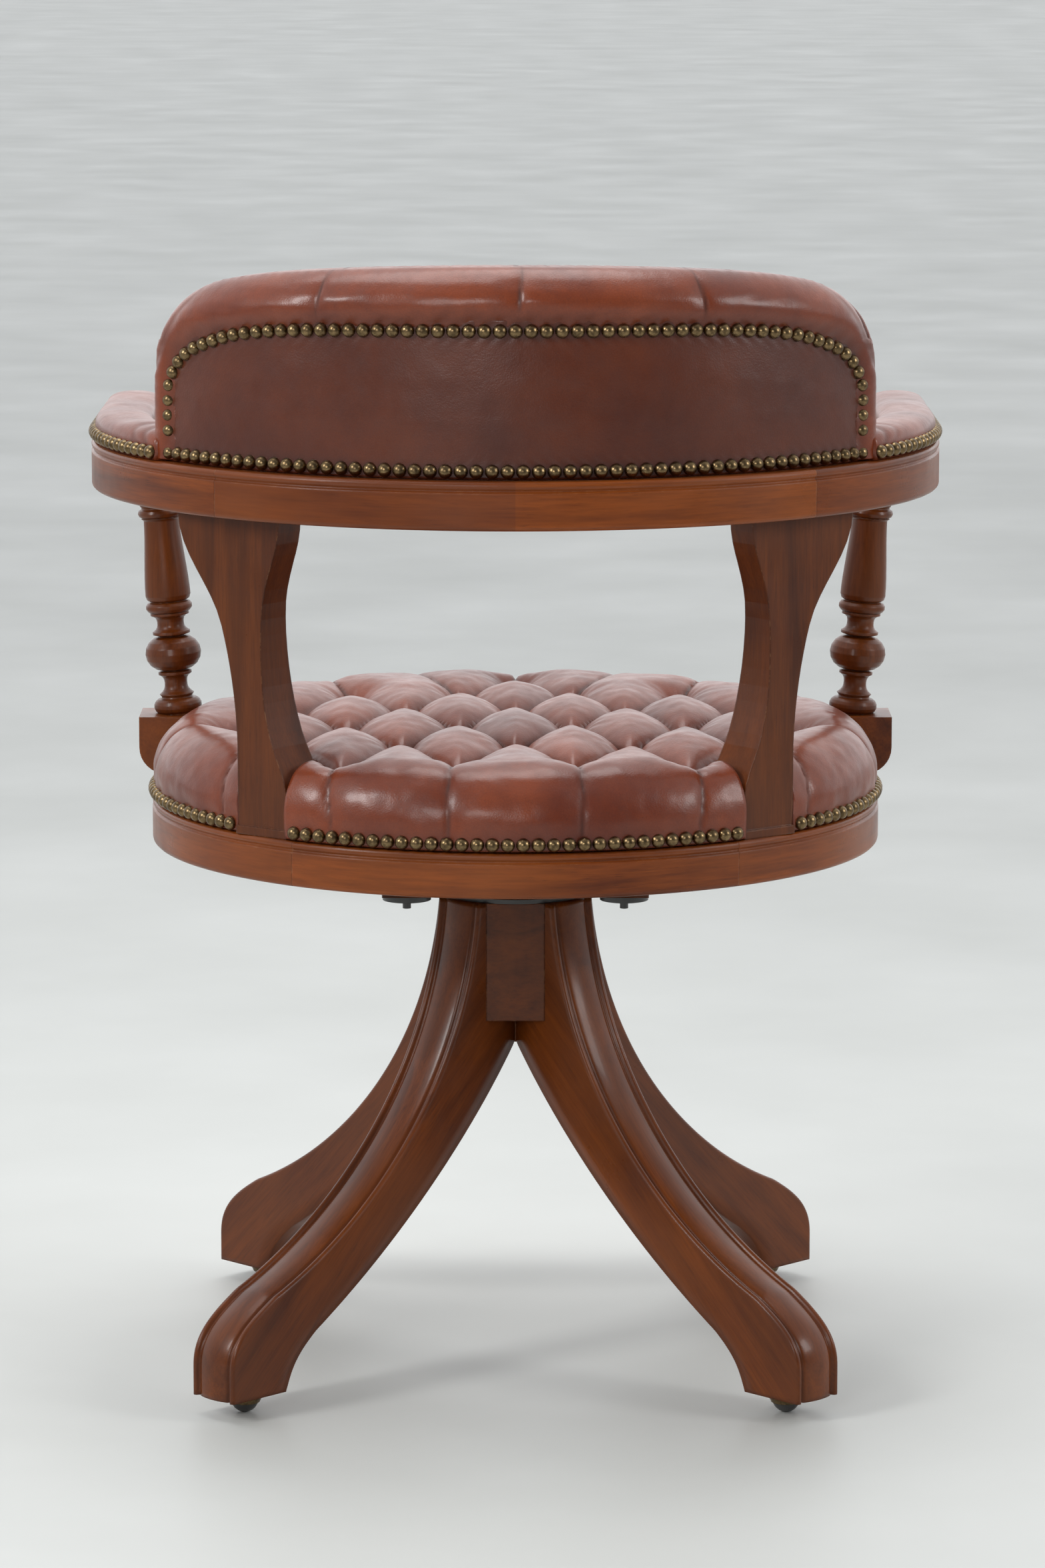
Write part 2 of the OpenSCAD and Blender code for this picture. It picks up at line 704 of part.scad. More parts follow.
arm_joint = 47.5;
module arm_rail_back() {
    color(wood) difference() {
        bend(arm_joint, 90) rail_half();
        both_sides() post_top_dowels();
    }
    color(wood) difference() {
        bend(90, 180 - arm_joint) rail_half();
        both_sides() post_top_dowels();
    }
}
module arm_rail_side() {
    color(wood) difference() {
        union() {
            bend(0, arm_joint) rail_half();
            arm() rail_half();
        }
        turned_axis() translate([0, 0, post_h - 5]) cylinder(d = tenon_d, h = 5 + 18);
        post_top_dowels();
    }
}

// ---------- Padding ----------

skirt_r = seat_r - 2;
pad_half_w = rail_w / 2 - 3;
board_side = 24;    // how far the back board stands in from the back's sides
button_d = 15;
button_pit = 18;
button_hole_d = button_d + 4;
button_back = 25;   // the middle row of buttons lies this far behind the swivel axis

// Staggered rows of buttons, clear of the seat's edge
function button_places() = [for (j = [-3:2], i = [-3:3])
    let (x = (i + (abs(j) % 2 == 0 ? 0.5 : 0)) * button_pitch, y = button_back + j * 0.98 * button_pitch)
    if (norm([x, y]) < seat_r - 36) [x, y]];
cushion_top = rebate_top + cushion_h;
pit_z = cushion_top - button_pit - 4;

module seat_cushion() {
    edge = 30;
    color(leather) difference() {
        rotate_extrude($fn = 96) polygon(concat(
            [[0, rim_top + gap], [board_r - gap, rim_top + gap], [board_r - gap, rebate_top + gap],
             [rebate_r + gap, rebate_top + gap], [rebate_r + gap, rim_top + 1], [skirt_r, rim_top + 1]],
            arc(skirt_r - edge, rebate_top + 6, edge, 0, 80, 8), [[0, cushion_top]]));
        both_sides() {
            post_foot_box(gap);
            block_box(gap);
        }
        for (p = button_places()) translate([p.x, p.y, pit_z]) cylinder(d = button_hole_d, h = 60);
    }
}

module button() {
    intersection() {
        sphere(d = button_d);
        cylinder(d = button_d, h = 5);
    }
}

module buttons() {
    color(leather) {
        for (p = button_places()) translate([p.x, p.y, pit_z + 0.1]) button();
        at_back_buttons(button_pit - 0.1) button();
    }
}

back_r = rail_r - 14;
board_in = back_r - back_board_t;
skin_t = 3;
back_face_r = back_r + gap + skin_t;
edge_line = roll_w + nail_d / 2;    // the nails' line, in from the back's top edge
side_line = 9;                      // and in from its sides
panel_side = side_line - nail_d / 2 - 0.5;
panel_top = roll_w - 4;
back_foot_a = acos((back_half_w - side_line) / back_face_r);

// Right half of the back's edge in front view, in by side and down by d from its padded edge
function back_edge(side, d, foot) = let (w = back_half_w - side, top = rail_top + back_h - d,
    r = back_corner_r - d / 2, shoulder = top - back_crown)
    concat([[w, foot]], arc(w - r, shoulder - r, r, 0, 72, 12),
        curve([w - 0.7 * r, shoulder - 0.05 * r], [w - 1.3 * r, top - 2], [w - 2.3 * r, top], [0, top], 12));

// Part of the curved back inside such an edge
module back_shape(side, d) {
    half = back_edge(side, d, rail_top - 1);
    intersection() {
        back_bend() children();
        translate([0, rail_r, 0]) rotate([90, 0, 0]) linear_extrude(rail_r)
            polygon(concat(half, [for (i = [len(half) - 2:-1:0]) [-half[i].x, half[i].y]]));
    }
}

module back_bend() {
    translate([0, -rail_fwd, 0]) rotate([0, 0, 90 - back_sweep])
        rotate_extrude(angle = 2 * back_sweep, $fn = 96) children();
}

module back_board() {
    color("#b58a5a") back_shape(board_side, roll_w)
        translate([board_in, rail_top + gap]) square([back_board_t, 300]);
}

module outside_back() {
    color(leather) back_shape(panel_side, panel_top)
        translate([back_r + gap, rail_top + gap]) square([skin_t, 300]);
}

// The back's buttons, in two staggered rows, d deep in its front face and facing forwards
module at_back_buttons(d) {
    face_r = board_in - back_pad_t;
    for (row = [0, 1], i = [-2:2 - row]) translate([0, -rail_fwd, 0]) rotate([0, 0, 90 + 25 * (i + row / 2)])
        translate([face_r + d, 0, rail_top + back_h * (0.63 - 0.31 * row)]) rotate([0, -90, 0]) children();
}

module back_cushion() {
    bulge = back_pad_t;
    low = rail_top + gap;
    high = rail_top + back_h + 5;
    color(leather) difference() {
        back_shape(0, 0) polygon(concat(
            [[board_in - gap, low]],
            [[back_r + 7, low], [back_r + 7, high - 14]], arc(back_r - 11, high - 18, 18, 0, 90, 5),
            arc(board_in - bulge + 22, high - 22, 22, 90, 180, 5),
            [[board_in - bulge, low + 20], [board_in - bulge + 10, low]]));
        back_shape(board_side - gap, roll_w - gap) translate([board_in - gap, 0]) square([200, 2000]);
        back_shape(panel_side - gap, panel_top - gap) translate([back_r, 0]) square([200, 2000]);
        at_back_buttons(button_pit) cylinder(d = button_hole_d, h = 60);
    }
}

// Half section of an arm pad
module pad_half() {
    polygon(concat([[0, rail_top + gap], [pad_half_w, rail_top + gap]],
        curve([pad_half_w, rail_top + nail_d], [pad_half_w, rail_top + 0.85 * pad_h],
            [pad_half_w - 7, rail_top + pad_h], [0, rail_top + pad_h], 12)));
}

// An arm pad runs back along the rail until it meets the side of the back
module arm_pads() {
    side = back_half_w + pad_gap;
    color(leather) both_sides() {
        difference() {
            union() {
                bend(0, 38) pad_half();
                arm() pad_half();
            }
            intersection() {
                translate([-side, 0, 0]) cube([2 * side, 400, 900]);
                rotate([0, 0, -0.1]) back_bend() translate([rail_mid - rail_w, 0]) square([200, 900]);
            }
        }
    }
}

// ---------- Nails ----------

module nail() {
    intersection() {
        sphere(d = nail_d);
        translate([0, -10, -10]) cube([20, 20, 20]);
    }
}

module nail_row(r, a0, a1, z) {
    n = round((a1 - a0) * PI / 180 * r / nail_pitch);
    for (i = [0:n]) rotate([0, 0, a0 + (a1 - a0) * i / n]) translate([r, 0, z]) nail();
}

module seat_nails() {
    nail_r = skirt_r + 0.05;
    z = rim_top + 1 + nail_d / 2;
    rear = 90 - post_angle;
    clear = nail_d / 2 + 0.5;
    foot0 = rear - atan((post_foot_w + clear) / post_c);
    foot1 = rear + atan(clear / post_c);
    block0 = -asin((spindle_fwd - block_len / 2 - clear) / seat_r);
    block1 = -asin((spindle_fwd + block_len / 2 + clear) / seat_r);
    color(brass) {
        nail_row(nail_r, foot1 + 1, 180 - foot1 - 1, z);
        nail_row(nail_r, -180 - block1, block1, z);
        both_sides() nail_row(nail_r, block0, foot0 - 1, z);
    }
}

// Nails along the foot of the back and round the foot of each arm pad, down to its inner side
module rail_nails() {
    z = rail_top + 1 + nail_d / 2;
    out = pad_half_w + 0.05;
    n = floor(arm_len / nail_pitch);
    pitch = arm_len / n;
    outer_end = acos((back_half_w + 5) / (rail_mid + out));
    inner_end = 90 - back_sweep - 2;
    color(brass) {
        translate([0, -rail_fwd, 0]) nail_row(back_face_r + 0.05, back_foot_a, 180 - back_foot_a, z);
        both_sides() {
            translate([0, -rail_fwd, 0]) {
                nail_row(rail_mid + out, 0, outer_end, z);
                nail_row_inside(rail_mid - out, 0, inner_end, z);
            }
            for (i = [1:n - 1]) translate([rail_mid, -rail_fwd - i * pitch, z]) {
                translate([out, 0, 0]) nail();
                translate([-out, 0, 0]) rotate([0, 0, 180]) nail();
            }
            translate([rail_mid, -rail_fwd - arm_len, 0]) nail_row(out, -180, 0, z);
        }
    }
}

module nail_row_inside(r, a0, a1, z) {
    n = round((a1 - a0) * PI / 180 * r / nail_pitch);
    for (i = [0:n]) rotate([0, 0, a0 + (a1 - a0) * i / n]) translate([r, 0, z]) mirror([1, 0, 0]) nail();
}

// The line of nails round the outside of the back, as [distance round the back, height] steps
function crest_line() = [for (p = back_edge(side_line, edge_line, rail_top + 2.2 * nail_d))
    [asin(p.x / back_face_r) * PI / 180 * back_face_r, p.y]];
function run_length(p, i) = i == 0 ? 0 : run_length(p, i - 1) + norm(p[i] - p[i - 1]);

module crest_nails() {
    p = crest_line();
    s = [for (i = [0:len(p) - 1]) run_length(p, i)];
    across = [for (i = [0:len(p) - 1]) [s[i], p[i].x]];
    up = [for (i = [0:len(p) - 1]) [s[i], p[i].y]];
    total = s[len(s) - 1];
    n = round(total / nail_pitch);
    color(brass) for (i = [0:n], side = i < n ? [-1, 1] : [1]) let (q = total * i / n)
        translate([0, -rail_fwd, 0]) rotate([0, 0, 90 - side * lookup(q, across) / back_face_r * 180 / PI])
            translate([back_face_r + 0.05, 0, lookup(q, up)]) nail();
}

module back_nails() {
    rail_nails();
    crest_nails();
}

leg(0);  // leg_rear_left
leg(1);  // leg_rear_right
leg(2);  // leg_front_right
leg(3);  // leg_front_left
hub_core();
hub_corner_blocks();
hub_top_plate();
hub_plate_screws();
screw_bush();
castor_cups();
castor_race(0);  // castor_race_1
castor_race(1);  // castor_race_2
castor_race(2);  // castor_race_3
castor_race(3);  // castor_race_4
castor_ball(0);  // castor_ball_1
castor_ball(1);  // castor_ball_2
castor_ball(2);  // castor_ball_3
castor_ball(3);  // castor_ball_4
height_screw();
height_handwheel();
rocker_yoke();
swivel_bush();
thrust_washer();
retaining_nut();
stop_buffers();
rocker_spring();
strap();  // strap_left
mirror([1, 0, 0]) strap();  // strap_right
cross_shaft(pivot_d, pivot_fwd, pivot_z);  // pivot_shaft
cross_shaft(pin_d, bolt_fwd, pin_z);  // spring_bolt_pin
spring_bolt();
spring_seat();
tension_knob();
batten();  // batten_left
mirror([1, 0, 0]) batten();  // batten_right
strap_bolts();
seat_board();
wood_screws();
seat_rail(0);  // seat_rail_rear
seat_rail(1);  // seat_rail_right
seat_rail(2);  // seat_rail_front_right
seat_rail(3);  // seat_rail_front_left
seat_rail(4);  // seat_rail_left
seat_cushion();
seat_nails();
buttons();
scroll_post();  // scroll_post_left
mirror([1, 0, 0]) scroll_post();  // scroll_post_right
turned_post();  // turned_post_left
mirror([1, 0, 0]) turned_post();  // turned_post_right
post_blocks();
frame_dowels();
arm_rail_back();
arm_rail_side();  // arm_rail_left
mirror([1, 0, 0]) arm_rail_side();  // arm_rail_right
back_board();
back_cushion();
outside_back();
arm_pads();
back_nails();
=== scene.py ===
"""Visual model of the swivel desk chair: leather, moulded legs and finishes, built round the CAD frame.

Lengths in the tables below are millimetres in the frame's axes: -Y is the front, +X the sitter's left.
"""
import json
import math

import bmesh
import bpy
import numpy as np
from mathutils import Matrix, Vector, noise
from mathutils.kdtree import KDTree


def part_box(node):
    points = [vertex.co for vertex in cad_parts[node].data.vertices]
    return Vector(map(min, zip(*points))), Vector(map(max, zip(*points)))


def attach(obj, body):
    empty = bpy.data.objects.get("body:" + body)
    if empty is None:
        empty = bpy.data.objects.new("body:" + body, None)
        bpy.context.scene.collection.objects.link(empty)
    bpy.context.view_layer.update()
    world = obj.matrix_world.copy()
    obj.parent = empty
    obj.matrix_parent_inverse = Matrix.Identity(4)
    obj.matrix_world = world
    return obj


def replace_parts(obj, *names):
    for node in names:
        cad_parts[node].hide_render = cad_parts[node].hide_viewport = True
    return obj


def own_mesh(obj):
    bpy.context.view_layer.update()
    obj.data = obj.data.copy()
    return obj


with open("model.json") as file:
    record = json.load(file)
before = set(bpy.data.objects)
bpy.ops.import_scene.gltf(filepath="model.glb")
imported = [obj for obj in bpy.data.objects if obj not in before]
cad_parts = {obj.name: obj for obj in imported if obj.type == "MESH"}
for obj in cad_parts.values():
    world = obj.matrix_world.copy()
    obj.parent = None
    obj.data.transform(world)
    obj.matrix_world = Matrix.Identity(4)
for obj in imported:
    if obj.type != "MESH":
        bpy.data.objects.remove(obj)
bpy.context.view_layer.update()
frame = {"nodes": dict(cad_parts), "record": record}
scene = bpy.context.scene

# ---------- Camera ----------

cam_data = bpy.data.cameras.new("camera")
cam_data.lens = 135
cam_data.sensor_width = 36
cam_data.shift_x = 0.0045
cam_data.clip_end = 200
cam = bpy.data.objects.new("camera", cam_data)
cam.location = (0.0, 4.260, 1.118)
cam.rotation_euler = (math.pi / 2 - 0.162, 0, math.pi)
scene.collection.objects.link(cam)
scene.camera = cam
scene.view_settings.view_transform = "Standard"

# ---------- Sizes shared with the CAD frame ----------

SEAT_R = 266.0
SKIRT_R = 264.0
RIM_TOP = 416.0
REBATE_TOP = 428.0
SEAT_TOP = 474.0
RAIL_TOP = 675.0
RAIL_MID = 286.0
RAIL_FWD = 33.0
ARM_LEN = 116.0
BACK_H = 145.0
BACK_HALF_W = 252.0
BACK_CORNER_R = 62.0
BACK_CROWN = 14.0
BACK_FACE_R = 299.2
BUTTON_PITCH = 82.0
BUTTON_BACK = 25.0
POST_ANGLE = math.radians(38)
POST_C = 261.0
NAIL_D = 10.0
NAIL_PITCH = 10.7
LEG_T = 43.0
BOLT_FWD = 98.0


# ---------- Node helpers ----------

class Nodes:
    """Builds a material's node tree from short calls."""

    def __init__(self, name):
        self.mat = bpy.data.materials.new(name)
        self.mat.use_nodes = True
        self.tree = self.mat.node_tree
        self.bsdf = self.tree.nodes["Principled BSDF"]

    def put(self, socket, value):
        if isinstance(value, bpy.types.NodeSocket):
            self.tree.links.new(value, socket)
        elif value is not None:
            socket.default_value = value

    def add(self, kind, out=0, inputs=None, **props):
        node = self.tree.nodes.new(kind)
        for key, value in props.items():
            setattr(node, key, value)
        for key, value in (inputs or {}).items():
            self.put(node.inputs[key], value)
        return node.outputs[out]

    def math(self, op, a, b=None, c=None, clamp=False):
        return self.add("ShaderNodeMath", operation=op, use_clamp=clamp, inputs={0: a, 1: b, 2: c})

    def vec(self, op, a, b=None):
        return self.add("ShaderNodeVectorMath", operation=op, inputs={0: a, 1: b})

    def coords(self):
        return self.add("ShaderNodeTexCoord", "Object")

    def split(self, v):
        node = self.tree.nodes.new("ShaderNodeSeparateXYZ")
        self.put(node.inputs[0], v)
        return node.outputs

    def join(self, x, y, z):
        return self.add("ShaderNodeCombineXYZ", inputs={0: x, 1: y, 2: z})

    def map(self, v, scale, rot=(0, 0, 0), loc=(0, 0, 0)):
        return self.add("ShaderNodeMapping", inputs={
            "Vector": v, "Scale": scale, "Rotation": rot, "Location": loc})

    def noise(self, v, scale, detail=4.0, rough=0.55, distortion=0.0):
        return self.add("ShaderNodeTexNoise", inputs={
            "Vector": v, "Scale": scale, "Detail": detail, "Roughness": rough, "Distortion": distortion})

    def voronoi(self, v, scale, feature="F1", out="Distance"):
        return self.add("ShaderNodeTexVoronoi", out, feature=feature, inputs={"Vector": v, "Scale": scale})

    def span(self, v, lo, hi, a=0.0, b=1.0):
        """v from lo..hi to a..b, clamped."""
        return self.add("ShaderNodeMapRange", inputs={
            "Value": v, "From Min": lo, "From Max": hi, "To Min": a, "To Max": b})

    def mix(self, f, a, b, mode="MIX"):
        node = self.tree.nodes.new("ShaderNodeMix")
        node.data_type = "RGBA"
        node.blend_type = mode
        node.clamp_factor = True
        self.put(node.inputs[0], f)
        for socket, value in ((node.inputs[6], a), (node.inputs[7], b)):
            self.put(socket, (*value, 1.0) if isinstance(value, tuple) else value)
        return node.outputs[2]

    def bump(self, height, strength, distance, normal=None):
        return self.add("ShaderNodeBump", inputs={
            "Height": height, "Strength": strength, "Distance": distance, "Normal": normal})

    def edge(self, radius):
        """(rounded normal, mask of outer edges) from a small bevel."""
        soft = self.add("ShaderNodeBevel", samples=6, inputs={"Radius": radius})
        true = self.add("ShaderNodeNewGeometry", "Normal")
        dot = self.tree.nodes.new("ShaderNodeVectorMath")
        dot.operation = "DOT_PRODUCT"
        self.put(dot.inputs[0], soft)
        self.put(dot.inputs[1], true)
        return soft, self.math("SUBTRACT", 1.0, dot.outputs["Value"])

    def finish(self, color, rough, normal=None, **fixed):
        self.put(self.bsdf.inputs["Base Color"], (*color, 1.0) if isinstance(color, tuple) else color)
        self.put(self.bsdf.inputs["Roughness"], rough)
        if normal is not None:
            self.put(self.bsdf.inputs["Normal"], normal)
        for key, value in fixed.items():
            self.bsdf.inputs[key.replace("_", " ")].default_value = value
        return self.mat


# ---------- Materials ----------

def grain_coords(n, kind, turn=0.0):
    """Coordinates in metres whose X runs along the wood's grain."""
    v = n.coords()
    if kind == "up":
        return n.map(v, (1, 1, 1), rot=(0, math.pi / 2, 0))
    if kind == "along_leg":
        return n.map(n.map(v, (1, 1, 1), rot=(0, 0, -turn)), (1, 1, 1), rot=(0, math.radians(-44), 0))
    x, y, z = n.split(v)
    back = RAIL_FWD / 1000 if kind == "rail" else 0.0
    shifted = n.math("ADD", y, back)
    behind = n.math("MAXIMUM", shifted, 0.0) if kind == "rail" else shifted
    angle = n.math("ARCTAN2", behind, x)
    across = n.math("SQRT", n.math("ADD", n.math("POWER", x, 2.0), n.math("POWER", behind, 2.0)))
    along = n.math("MULTIPLY", angle, 0.28)
    if kind == "rail":
        along = n.math("ADD", along, n.math("MINIMUM", shifted, 0.0))
    return n.join(along, across, z)


def wood(name, kind, tone=1.0, wear=0.25, turn=0.0, halves=False):
    """Satin mahogany-stained wood: long streaks, fine pores, dark flecks and pale worn edges."""
    n = Nodes(name)
    g = grain_coords(n, kind, turn)
    seed = sum(map(ord, name)) % 37
    g = n.vec("ADD", g, (seed * 0.37, seed * 0.11, seed * 0.23))
    streak = n.noise(n.map(g, (5, 55, 55)), 1.0, 5.0, 0.6, 0.6)
    fine = n.noise(n.map(g, (30, 620, 620)), 1.0, 3.0, 0.6)
    fleck = n.noise(n.map(g, (90, 1500, 1500)), 1.0, 2.0, 0.5)
    cloud = n.noise(g, 9.0, 3.0)
    k = tone
    color = n.mix(n.span(streak, 0.30, 0.70),
                  (0.090 * k, 0.0170 * k, 0.0022 * k), (0.250 * k, 0.056 * k, 0.0065 * k))
    color = n.mix(n.span(fine, 0.42, 0.72, 0.0, 0.42), color, (0.048 * k, 0.0088 * k, 0.0020 * k))
    color = n.mix(n.span(fleck, 0.60, 0.76, 0.0, 0.45), color, (0.014, 0.004, 0.002))
    color = n.mix(n.span(cloud, 0.35, 0.72, 0.0, 0.35), color, (0.30 * k, 0.080 * k, 0.010 * k))
    if halves:
        side = n.math("GREATER_THAN", n.split(n.coords())[0], 0.0)
        color = n.mix(n.math("MULTIPLY", side, 0.30), color, (0.075, 0.016, 0.005))
    soft, edges = n.edge(0.0016)
    scuff = n.noise(n.coords(), 130.0, 4.0, 0.7)
    patches = n.span(scuff, 0.56 - 0.16 * wear, 0.72 - 0.10 * wear)
    worn = n.math("MULTIPLY", n.span(edges, 0.03, 0.22), patches, clamp=True)
    color = n.mix(n.math("MULTIPLY", worn, min(1.0, 1.6 * wear)), color, (0.46, 0.22, 0.10))
    rough = n.span(n.noise(n.coords(), 22.0, 4.0), 0.3, 0.7, 0.26, 0.42)
    normal = n.bump(fine, 0.10, 0.0004, n.bump(streak, 0.05, 0.0008, soft))
    return n.finish(color, rough, normal, Coat_Weight=0.12, Coat_Roughness=0.12, Specular_IOR_Level=0.28)


def leather(name, tint=1.0):
    """Waxed oxblood leather: fine grain, lighter and darker patches at random, painted shade in the folds."""
    n = Nodes(name)
    v = n.coords()
    cell = n.voronoi(v, 780.0)
    crack = n.voronoi(v, 520.0, "DISTANCE_TO_EDGE")
    pull = n.noise(v, 240.0, 4.0, 0.6)
    cloud = n.noise(v, 11.0, 5.0, 0.62)
    mottle = n.noise(v, 60.0, 5.0, 0.7)
    shade_and_patina = n.add("ShaderNodeAttribute", "Fac", attribute_name="shade_and_patina")
    k = tint
    color = n.mix(n.span(cloud, 0.32, 0.70),
                  (0.125 * k, 0.0215 * k, 0.0070 * k), (0.240 * k, 0.048 * k, 0.0135 * k))
    color = n.mix(n.span(mottle, 0.45, 0.75, 0.0, 0.30), color, (0.060, 0.0105, 0.0045))
    color = n.mix(n.span(crack, 0.0, 0.10, 0.22, 0.0), color, (0.050, 0.009, 0.005))
    # painted shade: darker where the mesh's shade_and_patina attribute marks creases, button pits and nail
    # lines, with some patina at the crest's nails
    color = n.mix(n.math("MULTIPLY", shade_and_patina, 0.86, clamp=True), color, (0.014, 0.0035, 0.0025))
    rough = n.math("ADD", n.span(mottle, 0.3, 0.7, 0.30, 0.42), n.math("MULTIPLY", shade_and_patina, 0.2))
    height = n.math("ADD", n.math("MULTIPLY", cell, 0.6), n.math("MULTIPLY", pull, 0.5))
    normal = n.bump(height, 0.16, 0.0006, n.bump(mottle, 0.10, 0.0020))
    return n.finish(color, rough, normal, Coat_Weight=0.20, Coat_Roughness=0.20, Specular_IOR_Level=0.40)


def metal(name, color, dark, rough, scale=180.0, amount=0.6, bump=0.05):
    """Plain metal with a patina that gathers in patches."""
    n = Nodes(name)
    v = n.coords()
    patch = n.noise(v, scale, 5.0, 0.65)
    speck = n.noise(v, scale * 6, 3.0)
    shade = n.mix(n.span(patch, 0.38, 0.66, 0.0, amount), color, dark)
    return n.finish(shade, n.span(patch, 0.3, 0.7, rough * 0.8, rough * 1.3),
                    n.bump(speck, bump, 0.0003), Metallic=1.0)


def brushed(name, color, rough):
    """Turned or drawn steel with fine machining marks."""
    n = Nodes(name)
    v = n.coords()
    shade_and_patina_values = n.noise(n.map(v, (60, 60, 2600)), 1.0, 3.0)
    stain = n.noise(v, 45.0, 4.0)
    shade = n.mix(n.span(stain, 0.45, 0.75, 0.0, 0.5), color, tuple(c * 0.45 for c in color))
    return n.finish(shade, n.span(shade_and_patina_values, 0.3, 0.7, rough * 0.7, rough * 1.3),
                    n.bump(shade_and_patina_values, 0.08, 0.0002), Metallic=1.0)


def painted(name, color, rough, coat=0.2, scale=900.0):
    """Black oxide, moulded plastic or rubber: near-black, with a fine surface."""
    n = Nodes(name)
    v = n.coords()
    grit = n.noise(v, scale, 3.0)
    dust = n.noise(v, 30.0, 4.0, 0.6)
    shade = n.mix(n.span(dust, 0.5, 0.8, 0.0, 0.35), color, tuple(c * 2.4 + 0.01 for c in color))
    return n.finish(shade, n.span(dust, 0.3, 0.7, rough * 0.85, rough * 1.2),
                    n.bump(grit, 0.12, 0.0002), Coat_Weight=coat)


def bare_wood(name):
    n = Nodes(name)
    g = n.map(n.coords(), (1, 1, 1), rot=(0, 0, 1.2))
    streak = n.noise(n.map(g, (6, 70, 70)), 1.0, 5.0, 0.6, 0.4)
    fine = n.noise(n.map(g, (40, 900, 900)), 1.0, 3.0)
    color = n.mix(n.span(streak, 0.3, 0.7), (0.42, 0.26, 0.14), (0.58, 0.40, 0.23))
    color = n.mix(n.span(fine, 0.5, 0.75, 0.0, 0.4), color, (0.30, 0.17, 0.09))
    return n.finish(color, 0.62, n.bump(fine, 0.15, 0.0003))


LEATHER = leather("leather_waxed")
# the outside back: the same leather at half tint, partly a darker patina and partly painted shade on the
# upright panel
LEATHER_PATINA_AND_SHADE = leather("leather_outside_back", 0.50)
BRASS_NAIL = metal("brass_antique", (0.24, 0.165, 0.082), (0.055, 0.036, 0.020), 0.30, 260.0, 0.85)
BRASS = metal("brass_plain", (0.62, 0.48, 0.24), (0.30, 0.20, 0.09), 0.28)
STEEL = brushed("steel_turned", (0.45, 0.45, 0.45), 0.32)
BLACK = painted("steel_black", (0.040, 0.038, 0.037), 0.38)
PLASTIC = painted("plastic_knob", (0.018, 0.018, 0.018), 0.45)
RUBBER = painted("rubber_stop", (0.022, 0.022, 0.022), 0.75, 0.0)
BARE = bare_wood("wood_bare")
BY_SLOT = {"antique_brass": BRASS_NAIL, "brass": BRASS, "steel": STEEL, "black_steel": BLACK,
           "knob_plastic": PLASTIC, "rubber": RUBBER, "bare_wood": BARE}
WOOD_LOOK = {
    "hub_core": ("up", 0.62, 0.2), "hub_corner_blocks": ("ring", 0.55, 0.3),
    "seat_rail_rear": ("ring", 1.00, 0.35), "seat_rail_left": ("ring", 0.92, 0.35),
    "seat_rail_right": ("ring", 1.04, 0.35), "seat_rail_front_left": ("ring", 1.02, 0.35),
    "seat_rail_front_right": ("ring", 0.95, 0.35), "scroll_post_left": ("up", 0.50, 0.35),
    "scroll_post_right": ("up", 0.56, 0.35), "turned_post_left": ("up", 0.58, 0.2),
    "turned_post_right": ("up", 0.62, 0.2), "post_blocks": ("ring", 0.85, 0.4),
    "batten_left": ("ring", 0.30, 0.1), "batten_right": ("ring", 0.30, 0.1),
    "arm_rail_back": ("rail", 1.04, 0.35), "arm_rail_left": ("rail", 0.94, 0.35),
    "arm_rail_right": ("rail", 0.98, 0.35),
}
slot_of = {row["node"]: row["material_slot"] for row in frame["record"]["subparts"]}
for node_name, ob in frame["nodes"].items():
    ob.data.materials.clear()
    if node_name in WOOD_LOOK:
        kind, tone, wear = WOOD_LOOK[node_name]
        mat = wood("wood_" + node_name, kind, tone, wear, halves=node_name == "arm_rail_back")
    elif node_name == "strap_bolts":
        mat = BLACK
    else:
        mat = BY_SLOT.get(slot_of[node_name], LEATHER)
    ob.data.materials.append(mat)


# ---------- Mesh helpers ----------

def make(name, verts, faces, mat, body, shade_and_patina=None):
    """A smooth-shaded mesh piece from vertices in millimetres."""
    me = bpy.data.meshes.new(name)
    me.from_pydata((np.asarray(verts) / 1000).tolist(), [], faces)
    me.update()
    me.polygons.foreach_set("use_smooth", [True] * len(me.polygons))
    # painted shade values, kept as a point attribute that the leather reads
    if shade_and_patina is not None:
        shade_and_patina_values = me.attributes.new("shade_and_patina", "FLOAT", "POINT")
        shade_and_patina_values.data.foreach_set("value", np.clip(shade_and_patina, 0, 1).astype(np.float32))
    ob = bpy.data.objects.new(name, me)
    scene.collection.objects.link(ob)
    me.materials.append(mat)
    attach(ob, body)
    return ob


def quads(nu, nv, wrap=False, base=0, flip=False):
    """Faces of a grid of nu rows by nv columns; wrap joins the last column to the first."""
    faces = []
    for i in range(nu - 1):
        for j in range(nv if wrap else nv - 1):
            k = (j + 1) % nv
            f = [base + i * nv + j, base + i * nv + k, base + (i + 1) * nv + k, base + (i + 1) * nv + j]
            faces.append(f[::-1] if flip else f)
    return faces


def rumple(p, scale, seed=0.0):
    """Smooth noise for each row of p, about -1..1."""
    return np.array([noise.noise(Vector((x * scale + seed, y * scale - seed, z * scale + 2 * seed)))
                     for x, y, z in p])


def nearest(q, line):
    """Distance from each point of q to the nearest point of a finely divided line."""
    return np.concatenate([np.sqrt(((part[:, None] - line[None]) ** 2).sum(2).min(1))
                           for part in np.array_split(q, 60)])


def bezier(a, b, c, d, n):
    """n points along the cubic curve with those four control points."""
    a, b, c, d = map(np.array, (a, b, c, d))
    t = np.linspace(0, 1, n)[:, None]
    s = 1 - t
    return s ** 3 * a + 3 * s * s * t * b + 3 * s * t * t * c + t ** 3 * d


def round_off(u):
    """A quarter circle: 0 at u = 0 with an upright start, 1 from u = 1 on."""
    return np.sqrt(np.clip(1 - (1 - np.clip(u, 0, 1)) ** 2, 0, 1))


